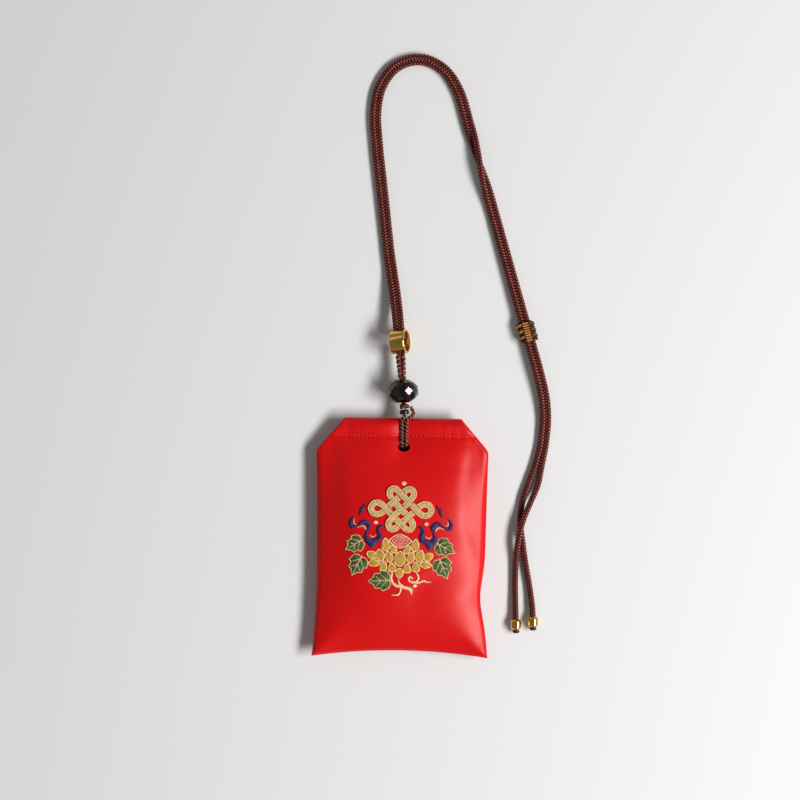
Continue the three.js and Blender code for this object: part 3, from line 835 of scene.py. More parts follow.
def settle_cloth(pillow, held, seam):
    """Lets the closed pouch swell and pucker as cloth, and gives each point's shift."""
    start = np.array([v.co for v in pillow.data.vertices])
    pillow.data.transform(Matrix.Scale(SIM_SCALE, 4))
    for label, weights in (("held", held), ("seam", seam)):
        group = pillow.vertex_groups.new(name=label)
        for index in np.nonzero(weights)[0]:
            group.add([int(index)], float(weights[index]), "REPLACE")
    pick(pillow)
    cloth = pillow.modifiers.new("Cloth", "CLOTH")
    for name, value in SIM_CLOTH.items():
        setattr(cloth.settings, name, value)
    cloth.settings.effector_weights.gravity = 0
    cloth.collision_settings.use_collision = False
    cloth.point_cache.frame_end = SIM_FRAMES
    for step in range(1, SIM_FRAMES + 1):
        bpy.context.scene.frame_set(step)
    bpy.ops.object.modifier_apply(modifier=cloth.name)
    bpy.context.scene.frame_set(1)
    pillow.data.transform(Matrix.Scale(1 / SIM_SCALE, 4))
    return np.array([v.co for v in pillow.data.vertices]) - start


def eased(moved):
    """The cloth's shift without its short wrinkles, held near the cut shape."""
    for _ in range(SIM_CALM):
        wide = np.pad(moved, ((1, 1), (1, 1), (0, 0)), mode="edge")
        beside = wide[:-2, 1:-1] + wide[2:, 1:-1] + wide[1:-1, :-2] + wide[1:-1, 2:]
        moved = moved / 2 + beside / 8
    reach = np.linalg.norm(moved, axis=-1, keepdims=True)
    return moved * SIM_CAP * np.tanh(reach / SIM_CAP) / np.maximum(reach, TINY)


def sewn_panels(form):
    """Front and back panel points on one grid, settled together as a closed pouch."""
    u, v = panel_grid(form)
    front = np.stack(form.front(u, v), axis=-1)
    back = np.stack(form.back(u, v), axis=-1)
    pillow, front_index, back_index, inside = closed_shell("pouch_pillow", front, back)
    hem = (v > form.hem_at - HOLD_BELOW_HEM).astype(float)
    from_hole = np.hypot(front[..., 0] - HOLE_CENTRE[0], front[..., 1] - HOLE_CENTRE[1])
    hold = np.clip(hem + HOLD_EDGE * (1 - inside) + bell(from_hole, 0, HOLD_ROUND_HOLE), 0, 1)
    pull = np.clip(1 - (1 - np.abs(u)) * PULL_ACROSS / PULL_REACH, 0, 1) * (v < form.shoulder_at)
    pull = np.maximum(pull, np.clip(1 - v * PULL_UP / PULL_REACH, 0, 1))
    held = np.concatenate([hold.ravel(), hold[inside]])
    seam = np.concatenate([pull.ravel(), pull[inside]])
    moved = settle_cloth(pillow, held, seam)
    bpy.data.objects.remove(pillow)
    free = form.rim(u, v, SIM_EDGE)[..., None]
    front = front + eased(moved[front_index]) * free
    back = back + eased(moved[back_index]) * free
    back[..., 2] = np.maximum(back[..., 2], FLOOR_CLEAR)
    return front, back


def panel_piece(name, points, flip):
    """One panel's cloth, a hair away from the seam plane."""
    index = np.arange(points.shape[0] * points.shape[1]).reshape(points.shape[:2])
    placed = points.copy()
    placed[..., 2] += -SEAM_HAIR if flip else SEAM_HAIR
    return mesh_piece(name, placed.reshape(-1, 3), grid_faces(index, flip))


def finish_panel(piece, thickness):
    """Smooths the settled cloth, gives it its thickness and cuts the hanger hole."""
    smoother = piece.modifiers.new("Smooth", "SUBSURF")
    smoother.levels = smoother.render_levels = 1
    smoother.boundary_smooth = "PRESERVE_CORNERS"
    wall = piece.modifiers.new("Cloth wall", "SOLIDIFY")
    wall.thickness = thickness
    wall.offset = -1
    apply_all(piece)
    place = {"location": (*HOLE_CENTRE, 0), "scale": (*HOLE_SIZE, 1)}
    cut_away(piece, round_punch("hole_punch", vertices=48, radius=0.5, depth=0.05, **place))


# String frame: +Y runs up the string from the pouch's top edge

STRING_START = Vector((0.55, 37.8, 5.05)) * MM
STRING_LEAN = math.radians(4.7)
STRING_FRAME = Matrix.Translation(STRING_START) @ Matrix.Rotation(STRING_LEAN, 4, "Z")
SEED_AT = 2.0 * MM
STOPPER_AT = 3.77 * MM
STOPPER_SIZE = (3.5 * MM, 1.8 * MM)
CRYSTAL_AT = 8.59 * MM
CRYSTAL_HEIGHT = 7.6 * MM
FACET_TURN = math.radians(7)
BRAID_FROM = 12.69 * MM
BRAID_TO = 19.79 * MM
BARREL_AT = 24.39 * MM
BARREL_TURN = math.radians(17)
STRING_KNOT_AT = 23.09 * MM
STRAP_KNOT_AT = 25.69 * MM


def up_string(along):
    """The string's frame, moved up the string."""
    return STRING_FRAME @ Matrix.Translation((0, along, 0))


BARREL_FRAME = up_string(BARREL_AT) @ Matrix.Rotation(-BARREL_TURN, 4, "Y")


def on_string(x, y, z):
    return np.array(STRING_FRAME @ Vector((x, y, z)))


def all_on_string(points):
    turn = np.array(STRING_FRAME.to_3x3())
    return np.asarray(points) @ turn.T + np.array(STRING_START)


# Strap route: one middle line for both strands, then a tail for each. Places on the run are in mm

CORD_REST = 1.0 * MM
CORD_STEP = 0.15 * MM
ROUTE_STEP = 0.4 * MM
ROUTE_STOPS = 76
CROSS_LIFT = 2.15 * MM
CROSS_LIFT_RUN = 16 * MM
CROSS_RUN = 11 * MM
CROSS_AT = 56
BARREL_EASE = 0.06
SLIDER_SPOT = np.array((39.15, 65.94, 2.11)) * MM
SLIDER_RUN = unit(np.array((-22.09, 74.41, -2.24)))
BARREL_AXIS = np.array(BARREL_FRAME.to_3x3() @ Vector((1, 0, 0)))


def on_run(along, height=None):
    """A place on the slider's straight run, so many mm above the slider."""
    spot = SLIDER_SPOT + SLIDER_RUN * along * MM
    if height is not None:
        spot[2] = height
    return spot


def route(*points):
    return [np.array(point) * MM for point in points]


def middle_route():
    rest = CORD_REST / MM
    left = [on_string(0, 26.99 * MM, 0), on_string(0, 29.59 * MM, -0.1 * MM)]
    left += route((-3.0, 76.5, 2.9), (-4.2, 84.0, 1.35), (-5.3, 91.0, rest), (-7.4, 108.0, rest))
    left += route((-9.6, 126.0, rest), (-10.2, 135.0, rest))
    arch = route((-8.6, 143.6, rest), (-3.6, 150.2, rest), (4.0, 152.4, rest))
    arch += route((11.2, 149.4, rest), (16.0, 142.8, rest))
    upper = [on_run(along, CORD_REST) for along in (68, 60, 52, 44)]
    slide = [on_run(along) for along in (36, 27, 18, 9, 0, -6, -12)]
    lower = route((44.9, 45.0, 1.9), (45.5, 37.5, 1.2), (44.9, 30.0, rest))
    return smooth_line(left + arch + upper + slide + lower, ROUTE_STEP)


UNDER_TAIL = route(
    (42.3, 22.95, 1.0), (40.7, 18.4, 1.0), (38.6, 11.8, 1.0), (38.0, 5.0, 1.0), (38.9, -2.0, 1.0),
    (39.9, -8.5, 1.0), (41.3, -16.0, 1.0), (42.2, -22.5, 1.55), (42.42, -26.56, 1.75),
    (42.478, -28.26, 1.75),
)
OVER_TAIL = route(
    (44.5, 22.9, 1.05), (43.4, 17.2, 1.645), (41.0, 11.4, 2.8275), (38.7, 5.6, 3.15),
    (37.3, -0.8, 2.8275), (36.7, -7.5, 1.3225), (36.6, -15.0, 1.0), (36.85, -23.2, 1.5),
    (37.0, -27.53, 1.75), (37.072, -29.23, 1.75),
)


def strand_route(side, lift, tail, pitch):
    """One strand beside the middle line. The strands change sides once, going down."""
    line = middle_route()
    done = lengths_along(line)
    done = done / done[-1]
    ahead = unit(np.gradient(line, axis=0))
    flat = unit(np.column_stack([ahead[:, 1], -ahead[:, 0], np.zeros(len(line))]))
    ease = share_of(done, 0, BARREL_EASE)
    ease = (ease * ease * (3 - 2 * ease))[:, None]
    across = unit(flat * ease + BARREL_AXIS * (1 - ease))
    beyond = on_run(CROSS_AT)[1] - line[:, 1]
    down = done > 0.5
    gone = np.where(down, np.clip(beyond / CROSS_RUN, -1, 1), -1)
    near = np.where(down, np.clip(beyond / CROSS_LIFT_RUN, -1, 1), -1)
    swap = np.cos(QUARTER_TURN * (gone + 1))
    line = line + across * (side * swap * pitch / 2)[:, None]
    line[:, 2] += lift * np.cos(QUARTER_TURN * near) ** 2
    stops = line[:: max(1, len(line) // ROUTE_STOPS)]
    return smooth_line(np.vstack([stops[:-1], line[-1:], tail]), CORD_STEP)


# Embroidery: stitches laid on the front panel

STITCH_AT = np.array([0.0, 0.10, 0.32, 0.68, 0.90, 1.0])
STITCH_TAPER = np.array([0.6, 0.92, 1, 1, 0.92, 0.6])
STITCH_SIDES = 6
STITCH_SINK = 0.00014
STITCH_JITTER = 0.00004
STITCH_TINT = (0.55, 0.16)
STEM_STEP = 0.72
STEM_LAP = 1.35
PETAL_POINTS = 60
RAY_START = 0.05


def height_over(name, side=1):
    """A function for the height of a piece's front, or the depth of its back for side -1."""
    tree = BVHTree.FromObject(bpy.data.objects[name], bpy.context.evaluated_depsgraph_get())
    inward = Vector((0, 0, -side))

    def height(x, y):
        spot = tree.ray_cast(Vector((x, y, side * RAY_START)), inward)[0]
        return side * spot.z if spot else 0.0

    return height


def sew(name, stitches, thickness, height, seed):
    """One piece of many stitches. Each is a start, an end and the rise of its middle."""
    chance = np.random.default_rng(seed)
    turn = np.arange(STITCH_SIDES) * TAU / STITCH_SIDES
    taper = STITCH_TAPER * thickness / 2
    arch = np.sin(np.pi * STITCH_AT) ** 0.55
    points, tints, faces = [], [], []
    rings = len(STITCH_AT)
    for start, end, rise in stitches:
        start = np.asarray(start) + chance.normal(0, STITCH_JITTER, 2)
        end = np.asarray(end) + chance.normal(0, STITCH_JITTER, 2)
        ahead = unit(end - start)
        spots = start + STITCH_AT[:, None] * (end - start)
        up = np.array([height(*spot) for spot in spots]) + arch * rise - STITCH_SINK * (1 - arch)
        middle = np.column_stack([spots, up])
        across = np.array((-ahead[1], ahead[0], 0.0))
        ring = np.cos(turn)[:, None] * across + np.sin(turn)[:, None] * np.array((0, 0, 1.0))
        faces += tube_faces(rings, STITCH_SIDES, first=len(points) * rings * STITCH_SIDES)
        points.append((middle[:, None, :] + ring[None] * taper[:, None, None]).reshape(-1, 3))
        tints.append(np.full(rings * STITCH_SIDES, np.clip(chance.normal(*STITCH_TINT), 0, 1)))
    piece = mesh_piece(name, np.vstack(points), faces, tint=np.concatenate(tints))
    clean_normals(piece, STITCH_MERGE)
    return piece


def widened(line, width):
    """A line with one width all along, as band takes it."""
    return np.column_stack([line, np.full(len(line), width)])


def band(line, pitch, rise, skips=(), slant=0.0):
    """Satin stitches across a line whose points are x, y and width."""
    line = spaced_line(np.asarray(line), pitch)
    done = lengths_along(line[:, :2])
    ahead = unit(np.gradient(line[:, :2], axis=0))
    across = np.column_stack([-ahead[:, 1], ahead[:, 0]]) + slant * ahead
    made = []
    for spot, side, gone in zip(line, across, done):
        if not any(low < gone < high for low, high in skips):
            made.append((spot[:2] - side * spot[2] / 2, spot[:2] + side * spot[2] / 2, rise))
    return made


def stem(line, stitch, rise):
    """A line of overlapping short stitches."""
    line = spaced_line(np.asarray(line), stitch * STEM_STEP)
    return [(a, a + (b - a) * STEM_LAP, rise) for a, b in zip(line, line[1:])]


def petal(base, tip, width, belly, pitch, rise):
    """Stitches along a petal, and the line of its edge from base to tip and back."""
    base, tip = np.asarray(base), np.asarray(tip)
    axis = tip - base
    side = np.array((-axis[1], axis[0])) / np.linalg.norm(axis)
    t = np.linspace(0, 1, PETAL_POINTS)
    half = np.sin(np.pi * t**belly) ** 0.75 * width / 2
    fill = []
    rows = max(2, round(width / pitch))
    for offset in (np.arange(rows) + 0.5) / rows * width - width / 2:
        inside = t[half >= abs(offset)]
        if len(inside) > 3:
            start, end = (base + axis * share + side * offset for share in (inside[0], inside[-1]))
            fill.append((start, end, rise))
    middle = base + axis * t[:, None]
    edge = np.vstack([middle + side * half[:, None], (middle - side * half[:, None])[::-1]])
    return fill, edge


LEAF_HALF = [
    (0.0, 0.04), (-0.05, 0.19), (0.03, 0.34), (0.16, 0.42), (0.36, 0.48),
    (0.42, 0.33), (0.68, 0.35), (0.74, 0.17), (1.0, 0.0),
]
LEAF_SLANT = math.radians(46)
LEAF_FILL = (-0.28, 0.97)
LEAF_MARGIN = 0.0001
LEAF_LEAST = 0.0003
LEAF_VEINS = ((0.10, 0.40), (0.40, 0.32))
VEIN_WIDTHS = (0.42 * MM, 0.25 * MM)
MIDRIB = (-0.05, 0.86)
MIDRIB_WIDTHS = (0.5 * MM, 0.25 * MM)


def reach_inside(foot, out, outline):
    """How far a line runs from a point inside an outline before it meets the edge."""
    edge = np.roll(outline, -1, axis=0) - outline
    away = outline - foot
    cross = out[0] * edge[:, 1] - out[1] * edge[:, 0]
    cross = np.where(np.abs(cross) < TINY, TINY, cross)
    gone = (away[:, 0] * edge[:, 1] - away[:, 1] * edge[:, 0]) / cross
    share = (away[:, 0] * out[1] - away[:, 1] * out[0]) / cross
    hits = gone[(share >= 0) & (share <= 1) & (gone > MERGE)]
    return hits.min() if len(hits) else 0.0


def lobed_leaf(base, bearing, size, pitch, rise):
    """Fill, edge and veins of a lobed leaf whose tip lies at the bearing."""
    ahead = np.array((math.cos(bearing), math.sin(bearing)))
    left = np.array((-ahead[1], ahead[0]))
    half = np.array(LEAF_HALF) * size
    outline = np.vstack([half, half[-2::-1] * (1, -1)]) @ np.vstack([ahead, left]) + base
    fill, veins = [], []
    for side in (-1, 1):
        out = math.cos(LEAF_SLANT) * ahead + side * math.sin(LEAF_SLANT) * left
        for gone in np.arange(LEAF_FILL[0] * size, LEAF_FILL[1] * size, pitch):
            foot = base + ahead * max(gone, 0.02 * size) + side * left * max(-gone, 0)
            reach = reach_inside(foot, out, outline) - LEAF_MARGIN
            if reach > LEAF_LEAST:
                fill.append((foot, foot + out * reach, rise))
        for at, share in LEAF_VEINS:
            foot = base + ahead * at * size
            veins.append(np.column_stack([(foot, foot + out * share * size), VEIN_WIDTHS]))
    veins.append(np.column_stack([[base + ahead * at * size for at in MIDRIB], MIDRIB_WIDTHS]))
    return fill, np.vstack([outline, outline[:1]]), veins


# Motif places, from the middle of the pouch

KNOT_CENTRE = np.array((-0.2, 9.1)) * MM
LOTUS_CENTRE = np.array((-0.36, -6.6)) * MM
KNOT_STEP = np.array((2.38, 2.32)) * MM
KNOT_BAND = 1.78 * MM
KNOT_GAP = 0.22 * MM
KNOT_EDGE = 0.43
PETAL_GAP_MM = 0.1
MOTIF_TURN = math.radians(-1.2)
MOTIF_STEP = 0.1 * MM
MIRROR_AT = np.array((-0.25, -0.15)) * MM
RIBBON_WIDEN = (1, 1, 1.18)
CROSSING_NEAR = 0.3 * MM
CROSSING_POINTS = 14
CROSSING_APART = 1.0 * MM

# Ribbons, linings and stems in mm: x, y and width along each

RIBBON = [
    (-15.3, 6.2, 0.6), (-16.0, 5.3, 1.0), (-16.2, 4.1, 1.1), (-15.6, 3.2, 1.1), (-14.8, 3.4, 0.8),
    (-13.6, 3.8, 0.5), (-12.7, 4.6, 1.0), (-11.7, 4.9, 1.4), (-10.6, 4.1, 1.4), (-10.3, 3.1, 1.2),
    (-10.7, 2.2, 0.6), (-11.0, 1.3, 0.8), (-11.1, 0.1, 1.4), (-10.6, -0.9, 1.7), (-9.4, -1.5, 1.9),
    (-8.1, -0.9, 1.5), (-7.0, -0.2, 1.5), (-6.8, 0.9, 1.4), (-7.4, 2.2, 1.1), (-7.3, 3.0, 1.0),
    (-6.6, 3.6, 0.9), (-5.9, 3.8, 0.5),
]
RIBBON_DROP = [(-9.4, -1.3, 2.8), (-9.4, -2.1, 2.3), (-9.5, -2.9, 1.1), (-9.6, -3.2, 0.5)]
RIBBON_FLICK = [
    (-11.7, 10.5, 0.4), (-12.0, 9.6, 0.8), (-12.7, 9.0, 1.1), (-12.9, 8.0, 0.9), (-13.3, 7.1, 0.4),
]
LININGS = [
    [(-15.0, 5.9, 0.3), (-15.2, 4.9, 0.6), (-14.9, 4.2, 0.5), (-14.4, 4.1, 0.3)],
    [(-13.9, 3.2, 0.3), (-13.1, 3.5, 0.5), (-12.2, 3.6, 0.7), (-11.5, 3.1, 0.7), (-11.3, 2.5, 0.4)],
    [(-9.9, 0.8, 0.3), (-9.3, 0.2, 0.6), (-8.6, 0.4, 0.5), (-8.2, 0.8, 0.3)],
]
STEMS = [
    [(-2.8, -11.3, 0.6), (-3.0, -12.8, 0.7), (-2.6, -14.1, 0.8), (-1.5, -15.1, 0.9), (0.2, -15.4, 1.0),
     (2.0, -15.9, 1.0), (3.0, -16.5, 0.8), (3.5, -17.6, 0.5)],
    [(2.0, -15.8, 0.6), (3.0, -15.9, 0.6), (3.9, -16.6, 0.35)],
    [(-0.8, -13.2, 0.45), (-0.5, -14.2, 0.6), (0.4, -15.1, 0.7)],
    [(0.1, -15.9, 0.6), (-0.3, -17.4, 0.6), (-0.9, -18.0, 0.5), (-2.7, -18.1, 0.3)],
    [(3.7, -12.8, 0.4), (2.9, -12.3, 0.6), (2.4, -12.9, 0.7), (2.9, -13.7, 0.7), (4.1, -14.0, 0.7),
     (5.8, -14.1, 0.6), (7.3, -13.5, 0.6), (8.2, -13.9, 0.5), (9.4, -13.9, 0.3)],
    [(5.0, -11.2, 0.4), (5.6, -12.2, 0.6), (5.4, -13.2, 0.6), (4.8, -13.9, 0.5)],
]
DOTS = [(0.6, 17.2, 1.35), (-8.2, 4.8, 1.2), (7.9, 4.5, 1.2), (4.5, -15.1, 1.2)]

# Petals in mm from the lotus's middle: x, y, lean of the tip in degrees, length, width and belly

PETALS = [
    (0, 0.0, 0, 4.7, 3.6, 0.85), (0, -4.6, 180, 3.2, 2.4, 0.9),
    (3.5, 0.55, 18, 3.7, 2.3, 0.8), (6.3, 1.05, 14, 3.9, 2.7, 0.8), (9.05, 0.95, 64, 3.2, 2.5, 0.75),
    (4.7, 4.5, 3, 4.1, 2.4, 0.7), (2.25, 3.0, 36, 3.0, 1.9, 0.85), (8.25, -1.65, 94, 3.8, 2.1, 0.85),
    (5.1, -2.4, -8, 3.2, 2.3, 0.6), (2.4, -2.85, 4, 2.9, 2.5, 0.6),
]

# Leaves in mm: place of the base, bearing of the tip in degrees and length

LEAVES = [
    (-12.6, -0.9, 212, 5.9), (-12.6, -6.2, 244, 6.5), (-3.6, -13.4, 184, 6.8),
    (11.4, -1.7, -28, 6.3), (12.2, -6.7, -68, 6.6),
]


def mirrored(points):
    """The same points on the other side of the motif's middle."""
    other = np.array(points, float)
    other[:, 0] = 2 * MIRROR_AT[0] / MM - other[:, 0]
    other[:, 1] += 2 * MIRROR_AT[1] / MM
    return other


def motif_turned(points, centre):
    """Points round a centre, turned as the whole motif is."""
    cosine, sine = math.cos(MOTIF_TURN), math.sin(MOTIF_TURN)
    return np.asarray(points) @ np.array(((cosine, sine), (-sine, cosine))) + centre


def endless_knot():
    """The closed line of the knot, and the lengths at which it passes under itself."""
    p, q = KNOT_STEP / MM
    corner = [(3.0, 3.25), (3.75, 4.3), (3.85, 5.3), (3.2, 6.25), (2.15, 6.4), (1.05, 5.65)]
    end = [(5.9, -1.15), (7.2, -1.8), (8.6, -1.6), (9.6, 0.0), (8.6, 1.6), (7.2, 1.8), (5.9, 1.15)]

    def turned_to(points, x, y):
        return [(x * a, y * b) for a, b in points]

    line = [(-p, q), *turned_to(corner, -1, 1), (0, 2 * q), (p, q), (2 * p, 0), *end, (2 * p, 0)]
    line += [(p, -q), (0, -2 * q), *turned_to(corner[::-1], -1, -1), (-p, -q), (0, 0), (p, q)]
    line += [*corner, (0, 2 * q), (-p, q), (-2 * p, 0), *turned_to(end, -1, 1), (-2 * p, 0)]
    line += [(-p, -q), (0, -2 * q), *turned_to(corner[::-1], 1, -1), (p, -q), (0, 0)]
    crossing = {(-p, q), (0, 2 * q), (p, q), (2 * p, 0), (p, -q), (0, -2 * q), (-p, -q), (0, 0), (-2 * p, 0)}
    visits = [k for k, point in enumerate(line) if point in crossing]
    drawn = smooth_line(np.array(line) * MM, 0.05 * MM, closed=True)
    done = lengths_along(drawn)
    unders = []
    seen = 0.0
    for order, k in enumerate(visits):
        spot = np.array(line[k]) * MM
        ahead = done >= seen
        near = np.where(ahead, np.linalg.norm(drawn - spot, axis=1), 1.0)
        first = np.argmax(near < CROSSING_NEAR)
        at = done[first + np.argmin(near[first : first + CROSSING_POINTS])]
        seen = at + CROSSING_APART
        if order % 2 == 0:
            unders.append(at)
    return motif_turned(drawn, KNOT_CENTRE), unders, done[-1]


# Operators

class AMULET_OT_stage(bpy.types.Operator):
    """Lay the pale table and set the lamps, the world light and the camera"""

    bl_idname = "amulet.stage"
    bl_label = "Stage"

    def execute(self, context):
        stage = context.scene.amulet_stage
        clear_selection()
        bpy.ops.mesh.primitive_plane_add(size=6, location=(0, 0, -0.0001))
        table = added("table")
        made = finish("pale_table")
        grain = made.noise(made.place(), 900.0, 3.0)
        tone = made.mix(grain, shaded(stage.floor, 0.985), stage.floor)
        table.data.materials.append(made.surface(Base_Color=tone, Roughness=grain * 0.05 + 0.7))
        self.light(context, stage)
        self.look(context, stage)
        return {"FINISHED"}

    def lamp(self, name, toward, distance, size, power):
        """A soft lamp that looks at the middle of the object."""
        away = Vector(toward).normalized()
        middle = Vector((0, 0.03, 0))
        bpy.ops.object.light_add(type="AREA", location=middle + away * distance)
        lamp = added(name)
        lamp.rotation_euler = away.to_track_quat("Z", "Y").to_euler()
        lamp.data.shape = "RECTANGLE"
        lamp.data.size, lamp.data.size_y = size
        lamp.data.energy = power

    def light(self, context, stage):
        self.lamp("key_lamp", (0.68, -0.20, 0.71), distance=1.15, size=(0.86, 0.26), power=stage.key_power)
        self.lamp("fill_lamp", (-0.55, 0.55, 0.62), distance=1.10, size=(0.9, 0.3), power=stage.fill_power)
        context.scene.world = bpy.data.worlds.new("soft_room")
        room = Finish(context.scene.world)
        facing = room.axis(room.node("ShaderNodeTexCoord", out="Generated"), "Z")
        height = room.math("MAXIMUM", facing, 0.0)
        level, overhead = (0.40, 0.395, 0.39), (0.20, 0.20, 0.205)
        glow = room.mix(height ** 0.6, level, overhead)
        sky = room.node("ShaderNodeBackground", None, {"Color": glow, "Strength": 0.75})
        room.node("ShaderNodeOutputWorld", None, {"Surface": sky})

    def look(self, context, stage):
        lens, sensor = 120.0, 36.0
        distance = stage.view_width * lens / sensor
        middle_x, middle_y, face = -0.00104, 0.04356, 0.005
        turn = math.radians(0.848)
        bpy.ops.object.camera_add(location=(middle_x, middle_y, face + distance), rotation=(0, 0, turn))
        camera = added("camera")
        camera.data.lens = lens
        camera.data.sensor_width = sensor
        camera.data.clip_start = 0.01
        context.scene.camera = camera
        context.scene.view_settings.view_transform = "Standard"


class AMULET_OT_strap(bpy.types.Operator):
    """Lay the two braided strands of the strap"""

    bl_idname = "amulet.strap"
    bl_label = "Strap strands"

    def execute(self, context):
        strap = context.scene.amulet_strap
        # The cord's colours paint shade between the braid's floats and highlight on them.
        cord = ply_finish("braided_cord", strap.shade, strap.painted_highlight, peak=3.7)
        gold = gold_finish("polished_gold", context.scene.amulet_string.gold)
        tip = tip_finish("sealed_tip", (0.012, 0.006, 0.005))
        for letter, side, lift, tail in (("a", -1, CROSS_LIFT, UNDER_TAIL), ("b", 1, 0, OVER_TAIL)):
            line = strand_route(side, lift, tail, strap.strand_pitch)
            strand = tubes(f"strap_strand_{letter}", [line], braided(strap.diameter), sides=36)
            dress(strand, cord, "strap", "brown_cord", f"strap_cord_{letter}")
            ends = self.end_pieces(letter, tail, gold, tip)
            float(lengths_along(line)[-1])
        ball = knotted(width=4.0 * MM, height=2.0 * MM, thread=0.95 * MM)
        knot = tubes("strap_knot_cord", [ball], plies(0.95 * MM), sides=12, closed=True)
        seat(knot, up_string(STRAP_KNOT_AT))
        dress(knot, cord, "strap", "brown_cord", "strap_knot")
        return {"FINISHED"}

    def end_pieces(self, letter, tail, gold, tip):
        """The gold bead and the melted tip on one strand's end."""
        along = Vector(unit(tail[-1] - tail[-2]))
        aim = Vector((0, 1, 0)).rotation_difference(along).to_matrix().to_4x4()
        outer, bore, lip, height = 1.74 * MM, 1.1 * MM, 0.14 * MM, 3.1 * MM
        sunk = 0.15 * MM
        profile = [(bore, -height / 2)]
        for t in np.linspace(-1, 1, 23):
            bulge = (1 - 0.96 * abs(t) ** 3.6) ** 0.5
            profile.append((bore + lip + (outer - bore - lip) * bulge, t * height / 2))
        profile.append((bore, height / 2))
        bead = turned(f"gold_end_{letter}", profile, steps=48)
        seat(bead, Matrix.Translation(tail[-2]) @ aim)
        dress(bead, gold, "strap", "gold_metal", f"end_bead_{letter}", smooth=35)
        rounds = [(0.0, 0.0), (0.86, 0.0), (1.09, 0.16), (1.15, 0.42), (1.0, 0.74), (0.62, 0.94), (0.0, 1.0)]
        cap = turned(f"melted_tip_{letter}", [(r * MM, h * MM) for r, h in rounds], steps=32)
        seat(cap, Matrix.Translation(Vector(tail[-1]) + along * sunk) @ aim)
        dress(cap, tip, "strap", "sealed_tip", f"cord_tip_{letter}")
        return [bead, cap]


class AMULET_OT_pouch(bpy.types.Operator):
    """Sew, fill and settle the two satin panels, with their hanger hole"""

    bl_idname = "amulet.pouch"
    bl_label = "Pouch panels"

    def execute(self, context):
        sizes = context.scene.amulet_pouch
        satin = satin_finish("red_satin", sizes.satin, sizes.satin_shade)
        front, back = sewn_panels(PouchForm(sizes))
        for side, points in (("front", front), ("back", back)):
            panel = panel_piece(f"{side}_panel_satin", points, side == "back")
            finish_panel(panel, sizes.cloth)
            dress(panel, satin, "charm", "red_satin", f"{side}_panel", smooth=50)
        return {"FINISHED"}


# Filling: each layer's share of the width, and its lower and upper end as shares of the height

BACKING_SPAN = (0.68, 0.20, 0.72)
WADDING_SPAN = (0.72, 0.13, 0.74)
LAYER_COLUMNS = 37
LAYER_ROWS = 43
LAYER_RIM = 0.12
LAYER_LEAST = 0.1 * MM


class AMULET_OT_filling(bpy.types.Operator):
    """Lay the backing sheet and the wadding inside the pouch, round its card"""

    bl_idname = "amulet.filling"
    bl_label = "Filling"

    def execute(self, context):
        sizes = context.scene.amulet_pouch
        form = PouchForm(sizes)
        soft = fibre_finish("soft_wadding", sizes.wadding)
        clear = sizes.cloth + 0.35 * MM
        card_half = 0.75 * MM
        card_top, card_bottom = sizes.seam_plane + card_half, sizes.seam_plane - card_half

        def under_front(deep):
            return lambda u, v: form.front(u, v)[2] - clear - deep

        def over_back(deep):
            return lambda u, v: form.back(u, v)[2] + clear + deep

        def level(height):
            return lambda u, v: np.full_like(u, height)

        layers = (
            ("backing_sheet", "embroidery_backing", BACKING_SPAN, under_front(0), under_front(0.4 * MM)),
            ("wadding_front", "front_wadding", WADDING_SPAN, under_front(0.65 * MM), level(card_top)),
            ("wadding_back", "back_wadding", WADDING_SPAN, level(card_bottom), over_back(0.25 * MM)),
        )
        for name, node, span, top, bottom in layers:
            piece = self.layer(name, form, span, top, bottom)
            dress(piece, soft, "charm", "wadding", node)
        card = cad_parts["amulet_card"]
        card.data.materials.clear()
        card.data.materials.append(paper_finish("gold_card", (0.80, 0.62, 0.26)))
        return {"FINISHED"}

    def layer(self, name, form, span, top, bottom):
        """A soft layer between two surfaces, its rim drawn to a rounded edge."""
        wide, low, high = span
        side = np.linspace(-1, 1, LAYER_COLUMNS)
        rise = np.linspace(0, 1, LAYER_ROWS)
        u, v = np.meshgrid(side * wide, low + (high - low) * rise)
        near = np.minimum(1 - np.abs(side)[None, :], np.minimum(rise, 1 - rise)[:, None] * 2)
        puff = rounded_over(near, LAYER_RIM)
        x, y = form.spot(u, v)
        upper, lower = top(u, v), bottom(u, v)
        middle, half = (upper + lower) / 2, np.maximum(upper - lower, LAYER_LEAST) / 2 * puff
        surfaces = (np.stack([x, y, middle + sign * half], axis=-1) for sign in (1, -1))
        return closed_shell(name, *surfaces)[0]


# Closing seam: its ends and pitch in mm

SEAM_ENDS = (-21.3, 20.6)
SEAM_PITCH = 1.32
SEAM_STITCH = (1.0 * MM, 0.05 * MM)
SEAM_RISE = 0.16 * MM
SEAM_THREAD = 0.36 * MM
SEAM_CLEAR = 0.0017


